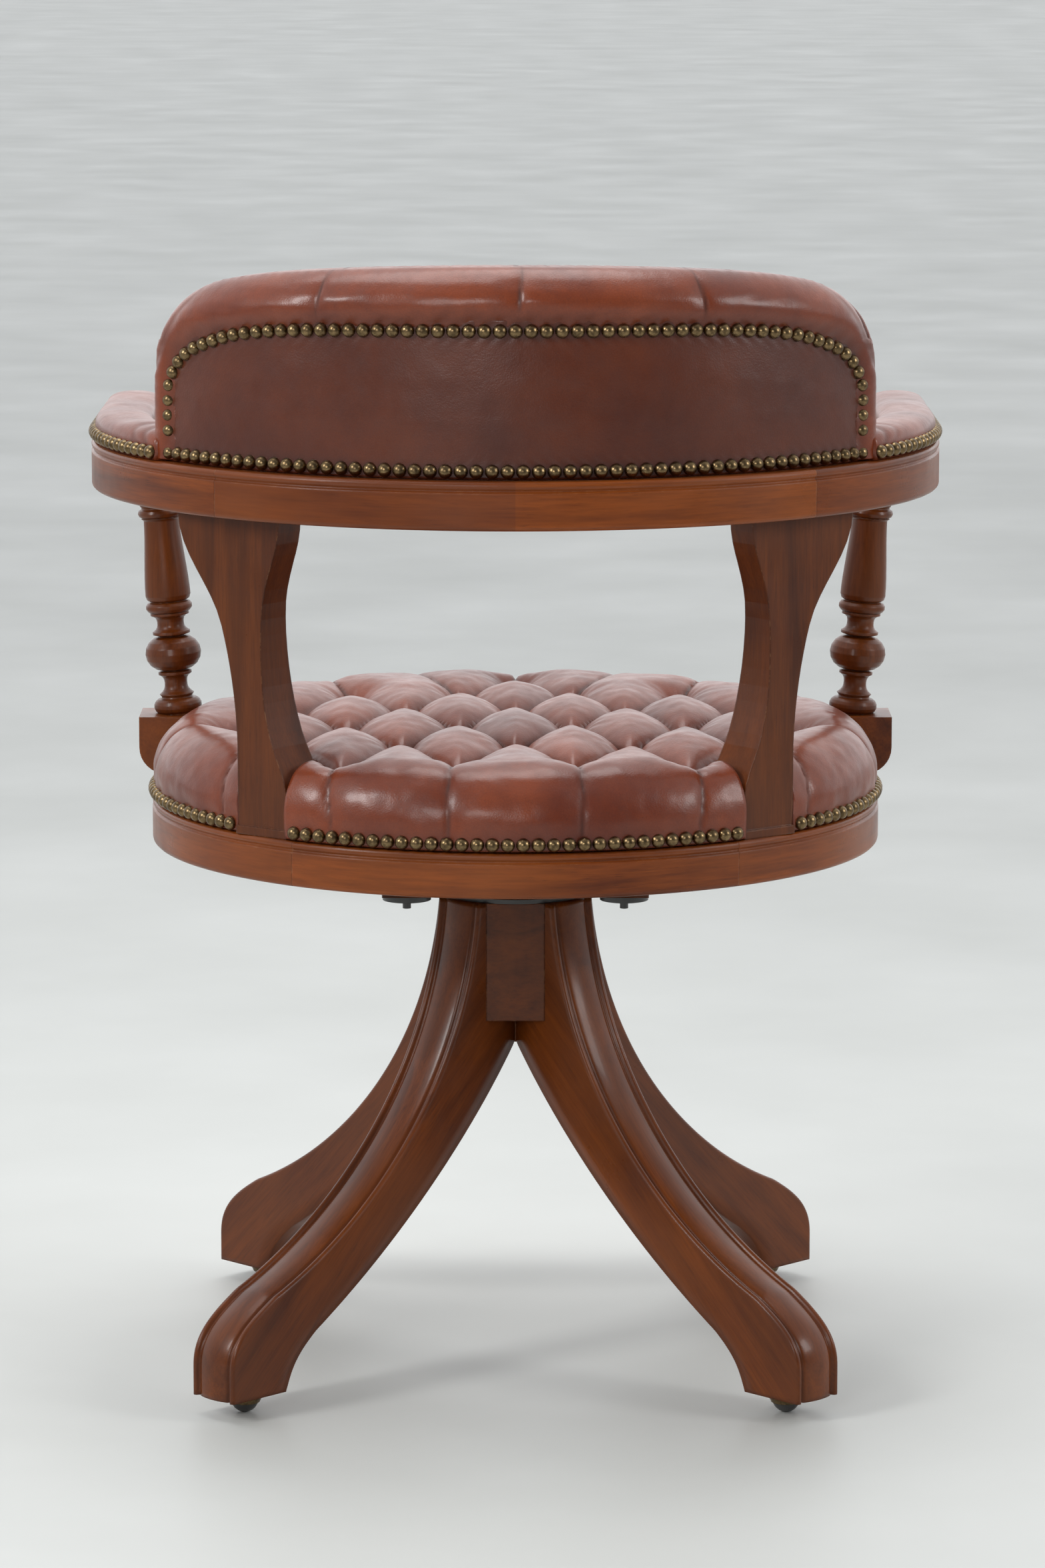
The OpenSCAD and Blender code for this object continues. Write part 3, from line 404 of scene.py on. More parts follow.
def creases(q, segments, dimples):
    """(depth, painted crease shade) at the points q of a plane. A segment is (a, b, depth at a, mid, b,
    width).
    """
    power = 5.0
    total = np.zeros(len(q))
    crease_shade = np.zeros(len(q))
    for a, b, da, dm, db, width in segments:
        a, b = np.array(a, float), np.array(b, float)
        along = b - a
        length = np.linalg.norm(along)
        t = np.clip((q - a) @ along / length ** 2, 0, 1)
        off = q - (a + t[:, None] * along)
        dist = np.linalg.norm(off, axis=1)
        depth = np.where(t < 0.5, dm + (da - dm) * (1 - 2 * t) ** 2, dm + (db - dm) * (2 * t - 1) ** 2)
        total += (depth * (1 - round_off(dist / width))) ** power
        # painted shade along each crease: a thin dark line at its bottom and a wider soft band
        crease_shade = np.maximum(crease_shade, np.exp(-(dist / 1.7) ** 2) * np.clip(depth / 9, 0, 1))
        crease_shade = np.maximum(crease_shade, 0.40 * np.exp(-(dist / 6.0) ** 2) * np.clip((depth - 7) / 16, 0, 1))
    for c, depth, width in dimples:
        dist = np.linalg.norm(q - np.array(c, float), axis=1)
        total += (depth * (1 - round_off(dist / width))) ** power
        # painted shade in the pit round each button
        crease_shade = np.maximum(crease_shade, np.exp(-(dist / 9.0) ** 4) * 0.9)
    return total ** (1 / power), crease_shade


def pull_lines(q, dimples, height, reach, count):
    """Fine ripples in the leather, radiating from each button."""
    out = np.zeros(len(q))
    for k, (c, _, _) in enumerate(dimples):
        d = q - np.array(c, float)
        r = np.linalg.norm(d, axis=1)
        a = np.arctan2(d[:, 1], d[:, 0])
        wave = np.cos(count * a + 2.1 * k + 0.8 * np.sin(3 * a + k))
        out += height * wave * np.exp(-((r - 11) / reach) ** 2)
    return out


# ---------- Seat ----------

def seat_buttons():
    places = []
    for j in range(-3, 3):
        for i in range(-3, 4):
            x = (i + (0.5 if j % 2 == 0 else 0)) * BUTTON_PITCH
            y = BUTTON_BACK + j * 0.98 * BUTTON_PITCH
            if math.hypot(x, y) < SEAT_R - 36:
                places.append((x, y))
    return places


SEAT_EDGE = 40.0                       # radius of the seat's rolled edge
SEAT_FLAT = SKIRT_R - SEAT_EDGE
SEAT_ARC = SEAT_EDGE * math.pi / 2
SHOULDER_Z = REBATE_TOP + 3
SKIRT_LOW = RIM_TOP + 1.2
SEAT_REACH = SEAT_FLAT + SEAT_ARC + SHOULDER_Z - SKIRT_LOW


def seat_profile(rho):
    """(radius, height, normal out, normal up) of the plain seat at a distance rho over the surface."""
    crown = SEAT_TOP + 6 - SHOULDER_Z - SEAT_EDGE
    flat = rho < SEAT_FLAT
    a = np.clip((rho - SEAT_FLAT) / SEAT_EDGE, 0, math.pi / 2)
    down = np.clip(rho - SEAT_FLAT - SEAT_ARC, 0, None)
    r = np.where(flat, rho, SEAT_FLAT + SEAT_EDGE * np.sin(a))
    swell = crown * (1 - np.clip(rho / (SEAT_FLAT + SEAT_ARC), 0, 1) ** 2)
    z = SHOULDER_Z + SEAT_EDGE * np.cos(a) + swell - down
    return r, z, np.sin(a), np.cos(a)


def seat_folds():
    places = seat_buttons()
    near = lambda p: any(math.hypot(p[0] - x, p[1] - y) < 1 for x, y in places)
    row = 0.98 * BUTTON_PITCH
    segments = []
    for x, y in places:
        missing = np.zeros(2)
        for dx in (-BUTTON_PITCH / 2, BUTTON_PITCH / 2):
            for dy in (-row, row):
                if near((x + dx, y + dy)):
                    if dy > 0:
                        segments.append(((x, y), (x + dx, y + dy), 30, 19, 30, 42))
                else:
                    missing += (dx, dy)
        if np.linalg.norm(missing) > 1:
            out = np.array((x, y)) / math.hypot(x, y)
            way = missing / np.linalg.norm(missing) + 0.8 * out
            way /= np.linalg.norm(way)
            end = np.array((x, y)) + way * 10
            while np.linalg.norm(end) < SEAT_REACH - 5:
                end += way
            segments.append(((x, y), tuple(end), 24, 4.0, 2.0, 34))
            segments.append(((x, y), tuple(end), 14, 5.5, 3.5, 8))
    return segments, [(p, 30, 24) for p in places]


def build_seat():
    spokes, rings = ((640, 120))
    rho = np.linspace(2, SEAT_REACH, rings)
    theta = np.linspace(0, 2 * math.pi, spokes, endpoint=False)
    R, T = np.meshgrid(rho, theta, indexing="ij")
    R, T = R.ravel(), T.ravel()
    q = np.stack([R * np.cos(T), R * np.sin(T)], 1)
    segments, dimples = seat_folds()
    depth, crease_shade = creases(q, segments, dimples)
    p3 = np.column_stack([q, np.zeros(len(q))])
    lift = 1.3 * rumple(p3, 0.022, 3.0) + 0.45 * rumple(p3, 0.09, 7.0)
    lift += pull_lines(q, dimples, 0.42, 13.0, 13)
    # gathers just above the nails, and nothing moves where the nails hold the leather
    held = np.clip((SEAT_REACH - R) / 20, 0, 1)
    gather = 0.55 * np.sin(T * 264 / 5.35) * np.exp(-((SEAT_REACH - 9 - R) / 7) ** 2)
    puff = 2.2 * np.exp(-((R - SEAT_FLAT - 40) / 30) ** 2)
    move = (lift + puff) * held + gather - depth * (0.25 + 0.75 * held)
    r, z, out, up = seat_profile(R)
    r = np.minimum(r + move * out, SEAT_R + 4)
    z = np.minimum(z + move * up, SEAT_TOP + 8)
    verts = np.column_stack([r * np.cos(T), r * np.sin(T), z])
    under = [(SKIRT_R - 4.4, SKIRT_LOW), (SKIRT_R - 4.4, REBATE_TOP + 0.4), (4.0, REBATE_TOP + 0.4)]
    for ur, uz in under:
        ring = np.column_stack([ur * np.cos(theta), ur * np.sin(theta), np.full(spokes, uz)])
        verts = np.vstack([verts, ring])
    faces = quads(rings + len(under), spokes, wrap=True)
    faces.append(list(range(spokes))[::-1])
    last = (rings + len(under) - 1) * spokes
    faces.append(list(range(last, last + spokes)))
    # painted shade where the leather is drawn in at the nails
    crease_shade = np.maximum(crease_shade, 0.40 * np.exp(-((SEAT_REACH - R) / 9) ** 2))
    shade_and_patina = np.concatenate([crease_shade, np.zeros(spokes * len(under))])
    ob = make("seat_leather", verts, faces, LEATHER, "seat", shade_and_patina)
    return ob


def cut(ob, boxes):
    """Takes boxes (corner, size, turn about Z) out of a piece, and keeps its painted shade values."""
    tree = KDTree(len(ob.data.vertices))
    for i, v in enumerate(ob.data.vertices):
        tree.insert(v.co, i)
    tree.balance()
    old = np.empty(len(ob.data.vertices), np.float32)
    ob.data.attributes["shade_and_patina"].data.foreach_get("value", old)
    verts, faces = [], []
    for (x, y, z), (sx, sy, sz), turn in boxes:
        base = len(verts)
        for k in range(8):
            px, py, pz = x + sx * (k & 1), y + sy * (k >> 1 & 1), z + sz * (k >> 2)
            c, s = math.cos(turn), math.sin(turn)
            verts.append(((px * c - py * s) / 1000, (px * s + py * c) / 1000, pz / 1000))
        faces += [[base + k for k in f] for f in
                  ((0, 2, 3, 1), (4, 5, 7, 6), (0, 1, 5, 4), (2, 6, 7, 3), (0, 4, 6, 2), (1, 3, 7, 5))]
    me = bpy.data.meshes.new("cutter")
    me.from_pydata(verts, [], faces)
    tool = bpy.data.objects.new("cutter", me)
    scene.collection.objects.link(tool)
    mod = ob.modifiers.new("cut", "BOOLEAN")
    mod.operation = "DIFFERENCE"
    mod.solver = "EXACT"
    mod.use_self = True
    mod.object = tool
    bpy.context.view_layer.update()
    got = bpy.data.meshes.new_from_object(ob.evaluated_get(bpy.context.evaluated_depsgraph_get()))
    ob.modifiers.clear()
    bpy.data.objects.remove(tool)
    if "shade_and_patina" in got.attributes:
        got.attributes.remove(got.attributes["shade_and_patina"])
    shade_and_patina_values = [old[tree.find(v.co)[1]] for v in got.vertices]
    got.attributes.new("shade_and_patina", "FLOAT", "POINT").data.foreach_set("value", shade_and_patina_values)
    got.polygons.foreach_set("use_smooth", [True] * len(got.polygons))
    ob.data = got


def seat_notches():
    boxes = []
    for side in (1, -1):
        post_x = -1.8 if side > 0 else -45.0
        boxes.append(((post_x, POST_C - 40.8, 405), (46.8, 70, 120), -side * POST_ANGLE))
        for x0, z0 in ((235.6, 405), (229.6, 449.6)):
            boxes.append(((x0 if side > 0 else -x0 - 70, -149.4, z0), (70, 48.8, 120), 0.0))
    return boxes


seat = build_seat()
cut(seat, seat_notches())
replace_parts(seat, "seat_cushion")

# ---------- Back ----------

# The back is laid out flat: s is the distance round the bend at the outside-back leather, z the height.
BACK_MID_R = 276.0
BACK_HALF_T = 27.0
BACK_HALF_S = 315.0
BACK_LOW = RAIL_TOP + 0.6
BACK_TOP = RAIL_TOP + BACK_H


def back_outline(count):
    """Points (s, z) round the padded back: up one side, over the top, down the other and along the foot."""
    half = np.vstack([
        np.column_stack([np.full(14, BACK_HALF_S), np.linspace(BACK_LOW, BACK_LOW + 50, 14)]),
        bezier((BACK_HALF_S, 725.6), (BACK_HALF_S, 770), (298, 790), (250, 803), 24)[1:],
        bezier((250, 803), (215, 812), (120, BACK_TOP), (0, BACK_TOP), 24)[1:]])
    top = np.vstack([half, (half * (-1, 1))[::-1][1:]])
    foot = np.column_stack([np.linspace(-BACK_HALF_S, BACK_HALF_S, 60), np.full(60, BACK_LOW)])[1:-1]
    loop = np.vstack([top, foot, top[:1]])
    run = np.concatenate([[0], np.cumsum(np.linalg.norm(np.diff(loop, axis=0), axis=1))])
    t = np.linspace(0, run[-1], count, endpoint=False)
    return np.column_stack([np.interp(t, run, loop[:, 0]), np.interp(t, run, loop[:, 1])])


def crest_inset(q):
    """Distance of each point from the padded edge, sides and top only."""
    edge = back_outline(900)
    edge = edge[edge[:, 1] > BACK_LOW + 0.5]
    return nearest(q, edge)


def wrap(s, z, r):
    """From the flat layout to the frame."""
    a = math.pi / 2 - s / BACK_FACE_R
    return np.column_stack([r * np.cos(a), -RAIL_FWD + r * np.sin(a), z])


def back_buttons():
    arc = math.radians(25) * BACK_FACE_R
    upper = [(arc * i, RAIL_TOP + BACK_H * 0.63) for i in range(-2, 3)]
    lower = [(arc * (i + 0.5), RAIL_TOP + BACK_H * 0.32) for i in range(-2, 2)]
    return upper, lower


def build_back():
    count, rings = ((760, 44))
    edge = back_outline(count)
    spine_z = (BACK_LOW + BACK_TOP) / 2 - 2
    # both sides of the spine use the same points, so that they weld
    step = 1.45 * np.linalg.norm(edge[1] - edge[0])
    reach = math.floor((BACK_HALF_S - 72) / step)
    spine_s = np.clip(np.round(edge[:, 0] / step), -reach, reach) * step
    spine = np.column_stack([spine_s, np.full(count, spine_z)])
    gap = edge - spine
    # rings crowd towards the edge, where the surface turns fastest
    t = np.linspace(0, 1, rings)
    w = 1 - 0.5 * t - 0.5 * t ** 2
    P = spine[None] + gap[None] * w[:, None, None]
    s, z = P[..., 0].ravel(), P[..., 1].ravel()
    q = np.column_stack([s, z])
    upper, lower = back_buttons()
    folds = []
    for x, y in upper:
        folds.append(((x, y), (x, BACK_TOP + 30), 17, 9, 7, 27))
    for x, y in lower:
        for ux, uy in upper:
            if abs(ux - x) < 70:
                folds.append(((x, y), (ux, uy), 17, 8, 17, 34))
        folds.append(((x, y), (x, BACK_LOW - 10), 16, 7, 5, 27))
    for side in (-1, 1):
        folds.append(((side * 261, 766), (side * 330, 700), 15, 6, 3, 26))
    dimples = [(p, 18, 22) for p in upper + lower]
    depth, crease_shade = creases(q, folds, dimples)
    p3 = np.column_stack([q, np.zeros(len(q))])
    soft = 1.2 * rumple(p3, 0.024, 11.0) + 0.35 * rumple(p3, 0.10, 5.0)
    d = crest_inset(q)
    turn = round_off(d / BACK_HALF_T)
    foot = np.clip((z - BACK_LOW) / 16, 0, 1)
    face = np.minimum(turn, round_off((z - BACK_LOW) / 9))
    front = BACK_MID_R - BACK_HALF_T * face + (depth - soft) * face * (0.35 + 0.65 * foot)
    front += pull_lines(q, dimples, -0.4, 12.0, 13)
    # pleats over the roll, one above each upper button, leaning a little to one side
    roll = np.exp(-((d - 17) / 17) ** 2)
    pleat = np.zeros(len(q))
    pleat_shade = np.zeros(len(q))
    leans = (-6.0, 3.0, -5.0, 4.0, 9.0)
    for (x, _), lean in zip(upper, leans):
        target = x * 1.02 + lean - (z - BACK_TOP) * 0.10 * np.sign(x + 1)
        if abs(x) > 200:
            target = target + np.sign(x) * (BACK_TOP - 20 - z) * 0.35
        across = s - target
        strong = (z > 760) * np.exp(-(d / 44) ** 6)
        step = np.where(across > 0, np.exp(-across / 9), np.exp(across / 2.6))
        pleat += 3.4 * step * strong
        # painted shade along each pleat's fold
        pleat_shade = np.maximum(pleat_shade, np.exp(-(across / 1.3) ** 2) * strong * 0.85)
    tucks = np.zeros(len(q))
    for side in (-1, 1):
        for k in range(5):
            cx = side * (262 + 9 * k)
            lean = (s - cx) * 0.72 + side * (z - (790 - 13 * k)) * 0.70
            zone = np.exp(-((s - cx) / 22) ** 2 - ((z - (778 - 11 * k)) / 24) ** 2)
            tucks += 0.8 * np.exp(-(lean / 2.4) ** 2) * zone
    plump = 1.8 * np.exp(-((d - 20) / 11) ** 2)
    dip = 3.8 * np.clip((d - 27) / 12, 0, 1) ** 2 * (3 - 2 * np.clip((d - 27) / 12, 0, 1))
    scallop = 0.45 * np.sin((s + z) / NAIL_D * math.pi) * np.exp(-((d - 37) / 5) ** 2)
    crinkle = 0.5 * rumple(np.column_stack([s * 0.4, z * 1.6, d * 0]), 0.10, 2.0) * roll
    rear = BACK_MID_R + BACK_HALF_T * turn + (plump + soft * 0.6 + crinkle) * turn
    rear = rear - dip - (pleat + tucks) * roll * turn
    rear = np.where(d > 40, np.minimum(rear, BACK_FACE_R - 3.2), rear) + scallop * turn
    top = np.minimum(z, BACK_TOP + 3)
    verts = np.vstack([wrap(s, top, front), wrap(s, top, rear)])
    half = rings * count
    faces = quads(rings, count, wrap=True, flip=True) + quads(rings, count, wrap=True, base=half)
    # dark band along the dip at the nail line: partly dark patina, partly painted shade
    nail_patina_and_shade = 0.40 * np.exp(-((d - 38) / 6) ** 2)
    # on the roll: painted shade in the pleats and tucks, and the nail-line band
    shade_and_patina = np.concatenate([crease_shade, np.maximum(np.maximum(pleat_shade * roll, tucks * 0.25), nail_patina_and_shade)])
    # the outline's ring is shared
    remap = list(range(2 * half))
    for j in range(count):
        remap[half + j] = j
    faces = [[remap[k] for k in f] for f in faces]
    return make("back_leather", verts, faces, LEATHER, "seat", shade_and_patina)


def tidy_mesh(ob, merge=0.00002):
    """Welds doubled vertices, drops loose ones and makes the normals face outwards."""
    bm = bmesh.new()
    bm.from_mesh(ob.data)
    bmesh.ops.remove_doubles(bm, verts=bm.verts, dist=merge)
    loose = [v for v in bm.verts if not v.link_faces]
    bmesh.ops.delete(bm, geom=loose, context="VERTS")
    bmesh.ops.recalc_face_normals(bm, faces=bm.faces)
    bm.to_mesh(ob.data)
    bm.free()


back = build_back()
tidy_mesh(back)
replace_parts(back, "back_cushion")


def crest_edge(side, drop, count):
    """The CAD's line round the outside of the back: (s, z), up one side and over to the other."""
    w = BACK_HALF_W - side
    top = BACK_TOP - drop
    r = BACK_CORNER_R - drop / 2
    shoulder = top - BACK_CROWN
    a = np.radians(np.linspace(0, 72, 24))
    half = np.vstack([
        [(w, BACK_LOW)], [(w, BACK_LOW + 0.5 * (shoulder - r - BACK_LOW))],
        np.column_stack([w - r + r * np.cos(a), shoulder - r + r * np.sin(a)]),
        bezier((w - 0.7 * r, shoulder - 0.05 * r), (w - 1.3 * r, top - 2), (w - 2.3 * r, top), (0, top), 30)])
    line = np.vstack([half, (half * (-1, 1))[::-1][1:]])
    run = np.concatenate([[0], np.cumsum(np.linalg.norm(np.diff(line, axis=0), axis=1))])
    t = np.linspace(0, run[-1], count)
    x, z = np.interp(t, run, line[:, 0]), np.interp(t, run, line[:, 1])
    return np.column_stack([BACK_FACE_R * np.arcsin(x / BACK_FACE_R), z])


def build_outside_back():
    """The plain leather panel on the outside of the back, a little slack, drawn in at its nails."""
    rows = 56
    top = crest_edge(3.5, 34.6, 420)
    top = top[top[:, 1] > top[:, 1].min() + 45]
    top = np.vstack([[(top[0, 0], top[0, 1])], top])
    cols = len(top)
    t = np.linspace(0, 1, rows)[:, None]
    s = np.broadcast_to(top[:, 0], (rows, cols)).ravel()
    z = (BACK_LOW + (top[:, 1] - BACK_LOW) * t).ravel()
    q = np.column_stack([s, z])
    nails = crest_edge(9.0, 43.0, 700)
    d = np.minimum(nearest(q, nails), np.abs(z - (RAIL_TOP + 6)))
    slack = 0.9 * rumple(np.column_stack([s, z * 0.5, 0 * s]), 0.020, 4.0)
    slack += 0.25 * rumple(np.column_stack([s, z, 0 * s]), 0.07, 9.0)
    pucker = 0.22 * np.cos((s + z * np.sign(s)) / NAIL_PITCH * 2 * math.pi) * np.exp(-((d - 5) / 3.5) ** 2)
    # faint diagonal drags from the upper corners
    drag = np.zeros(len(s))
    for side in (-1, 1):
        for k in range(4):
            a = math.radians(215 + 16 * k) if side > 0 else math.radians(325 - 16 * k)
            dx, dz = s - side * 262, z - 762
            off = -dx * math.sin(a) + dz * math.cos(a)
            run = dx * math.cos(a) + dz * math.sin(a)
            fade = np.exp(-np.clip(run, 0, None) / 26)
            drag += 0.5 * np.exp(-(off / 3.5) ** 2) * np.clip(run / 12, 0, 1) * fade
    r = BACK_FACE_R + 0.2 + (slack + 1.1 - drag) * np.clip((d - 4) / 30, 0, 1) + pucker
    outer = wrap(s, z, r)
    inner = wrap(s, z, np.full(len(s), BACK_FACE_R - 2.6))
    n = rows * cols
    faces = quads(rows, cols, flip=True) + quads(rows, cols, base=n)
    loop = list(range(cols)) + [i * cols + cols - 1 for i in range(1, rows)]
    loop += [(rows - 1) * cols + j for j in range(cols - 2, -1, -1)]
    loop += [i * cols for i in range(rows - 2, 0, -1)]
    for a, b in zip(loop, loop[1:] + loop[:1]):
        faces.append([a, b, n + b, n + a])
    # painted shade where the panel is drawn in at its nails and along the corner drags
    shade_and_patina = np.concatenate([0.45 * np.exp(-(d / 5.5) ** 2) + drag * 0.2, np.zeros(n)])
    ob = make("outside_back_leather", np.vstack([outer, inner]), faces, LEATHER_PATINA_AND_SHADE, "seat", shade_and_patina)
    tidy_mesh(ob)
    return ob


panel = build_outside_back()
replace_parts(panel, "outside_back")

# ---------- Arm pads ----------

PAD_HALF = 21.0
PAD_H = 22.0


def pad_spine(side):
    """(outline foot point, outward direction, position along) round one pad, outer side to inner side."""
    rows = []
    bend_end = math.radians(34.2)
    for a in np.linspace(bend_end, 0, 60):
        m = np.array((RAIL_MID * math.cos(a), -RAIL_FWD + RAIL_MID * math.sin(a)))
        rows.append((m, np.array((math.cos(a), math.sin(a))), a * RAIL_MID))
    for y in np.linspace(0, ARM_LEN, 40)[1:-1]:
        rows.append((np.array((RAIL_MID, -RAIL_FWD - y)), np.array((1.0, 0.0)), -y))
    for a in np.linspace(0, math.pi, 46):
        centre = np.array((RAIL_MID, -RAIL_FWD - ARM_LEN))
        rows.append((centre, np.array((math.cos(a), -math.sin(a))), -ARM_LEN))
    for y in np.linspace(ARM_LEN, 0, 40)[1:-1]:
        rows.append((np.array((RAIL_MID, -RAIL_FWD - y)), np.array((-1.0, 0.0)), -y))
    inner_end = math.radians(29.4)
    for a in np.linspace(0, inner_end, 56):
        m = np.array((RAIL_MID * math.cos(a), -RAIL_FWD + RAIL_MID * math.sin(a)))
        rows.append((m, -np.array((math.cos(a), math.sin(a))), a * RAIL_MID))
    return rows


def build_pad(name, side):
    rows = pad_spine(side)
    n = len(rows)
    crown = bezier((PAD_HALF, NAIL_D - 1), (PAD_HALF + 1, 0.88 * PAD_H),
                   (PAD_HALF - 7, PAD_H), (0, PAD_H), 24)
    section = np.vstack([[[PAD_HALF, 0.4]], crown])
    m = np.array([r[0] for r in rows])
    e = np.array([r[1] for r in rows])
    along = np.array([r[2] for r in rows])
    k = len(section)
    end_near = np.radians(34.2) * RAIL_MID - along
    close = round_off((end_near + 3) / 15)
    verts, shade_and_patina = [], []
    front = np.clip((-along - ARM_LEN + 22) / 22, 0, 1)
    ang = np.arctan2(e[:, 1], e[:, 0])
    for i, (x, h) in enumerate(section):
        up = h / PAD_H
        mid = 1 - abs(2 * up - 1)
        # pleats round the front, and loose folds where the pad meets the back
        pleat = np.zeros(n)
        for c in (-2.62, -2.1, -1.57, -1.05, -0.52):
            pleat += np.exp(-((ang - c) / 0.055) ** 2) * (along <= -ARM_LEN + 0.1)
        crumple = np.zeros(n)
        for c, lean, amount in ((6, 16, 1.0), (17, 24, 0.6)):
            crumple += amount * np.exp(-((end_near - c - lean * up ** 1.5) / 3.2) ** 2)
        depth = 1.5 * pleat * mid + 1.1 * crumple * (0.3 + up) * (end_near < 46)
        xx = (x - depth * (1 - up)) * (0.94 + 0.06 * close)
        zz = h * (0.80 + 0.20 * close) - depth * up
        p = m + e * np.maximum(xx, 0)[:, None] if x > 0 else m + e * 0.0
        verts.append(np.column_stack([p * (side, 1), RAIL_TOP + zz]))
        # painted shade in the front pleats and in the folds against the back
        shade_and_patina.append(np.clip(0.55 * pleat * mid + 0.35 * crumple * (end_near < 46), 0, 1))
    verts = np.array(verts)
    flat = verts.reshape(-1, 3)
    flat[:, 2] += 0.9 * rumple(flat, 0.03, 6.0) * np.clip((flat[:, 2] - RAIL_TOP - 8) / 12, 0, 1)
    shade_and_patina = np.array(shade_and_patina).ravel()
    faces = quads(k, n)
    total = k * n
    # underside, and the end against the back
    mid_low = np.column_stack([m * (side, 1), np.full(n, RAIL_TOP + 0.4)])
    flat = np.vstack([flat, mid_low])
    faces += [[total + j, total + j + 1, j + 1, j] for j in range(n - 1)]
    for j in (0, n - 1):
        loop = [i * n + j for i in range(k)] + [total + j]
        faces.append(loop)
    shade_and_patina = np.concatenate([shade_and_patina, np.zeros(n)])
    ob = make(name, flat, faces, LEATHER, "seat", shade_and_patina)
    tidy_mesh(ob, 0.0003)
    return ob


pads = [build_pad("arm_pad_left", 1), build_pad("arm_pad_right", -1)]
for pad in pads:
    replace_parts(pad, "arm_pads")

# ---------- Buttons ----------


def button_rings():
    """Half profile of a covered button: (radius, height)."""
    return [(0.0, 5.0), (1.6, 4.9), (3.2, 4.55), (4.7, 3.9), (6.0, 2.9),
            (6.9, 1.7), (7.3, 0.6), (7.0, -0.4), (5.6, -0.9)]


def build_buttons():
    profile = button_rings()
    sides = 28
    verts, faces = [], []

    def one(origin, ax, ay, az):
        base = len(verts)
        for r, h in profile[1:]:
            for j in range(sides):
                a = 2 * math.pi * j / sides
                verts.append(origin + ax * r * math.cos(a) + ay * r * math.sin(a) + az * h)
        verts.append(origin + az * profile[0][1])
        tip = len(verts) - 1
        faces.extend(quads(len(profile) - 1, sides, wrap=True, base=base, flip=True))
        faces.extend([[tip, base + j, base + (j + 1) % sides] for j in range(sides)])
        last = base + (len(profile) - 2) * sides
        faces.append(list(range(last, last + sides))[::-1])

    x, y, z = np.eye(3)
    for bx, by in seat_buttons():
        one(np.array((bx, by, SEAT_TOP - 21)), x, y, z)
    for row in back_buttons():
        for s, h in row:
            a = math.pi / 2 - s / BACK_FACE_R
            out = np.array((math.cos(a), math.sin(a), 0))
            centre = np.array((0, -RAIL_FWD, h)) + out * (BACK_MID_R - BACK_HALF_T + 17)
            one(centre, np.array((-out[1], out[0], 0)), z, -out)
    ob = make("buttons_leather", np.array(verts), faces, LEATHER, "seat")
    tidy_mesh(ob)
    return ob


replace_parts(build_buttons(), "buttons")

# ---------- Legs ----------

LEG_REACH = 304.0
LEG_TOP = 342.0
FOOT_Z = 14.5
HUB_LOW = 235.0


def leg_edges(count):
    """Outer edge from the top to the toe, and inner edge from the hub to the heel, as (reach, height)."""
    outer = np.vstack([
        bezier((58.8, LEG_TOP), (70, 215), (165, 125), (262, 85), 70),
        bezier((262, 85), (288, 70), (LEG_REACH, 58), (LEG_REACH, 36), 26)[1:],
        [(LEG_REACH, 30), (LEG_REACH, 22), (LEG_REACH, FOOT_Z)]])
    inner = np.vstack([
        [(LEG_T / 2, LEG_TOP), (LEG_T / 2, HUB_LOW)],
        bezier((LEG_T / 2, HUB_LOW), (72, 165), (150, 98), (222, 54), 60)[1:],
        bezier((222, 54), (243, 38), (246, 30), (252, FOOT_Z), 20)[1:]])

    def even(p, m):
        run = np.concatenate([[0], np.cumsum(np.linalg.norm(np.diff(p, axis=0), axis=1))])
        t = np.linspace(0, run[-1], m)
        return np.column_stack([np.interp(t, run, p[:, 0]), np.interp(t, run, p[:, 1])])

    return even(outer, count), even(inner, count)


def leg_mould():
    """Half section of the moulded outer edge: (distance from the middle plane, height over the edge)."""
    half = LEG_T / 2
    bead = [(half - 2.4 + 2.4 * math.cos(a), -2.4 + 2.4 * math.sin(a))
            for a in np.linspace(0, math.pi * 0.92, 9)]
    quirk = [(half - 5.6, -2.9), (half - 6.6, -2.9), (half - 7.3, -2.2)]
    band = [(half - 7.5 - (half - 7.5) * t, -1.6 + 2.4 * math.sin(math.pi / 2 * t) ** 0.8)
            for t in np.linspace(0, 1, 9)]
    return bead + quirk + band


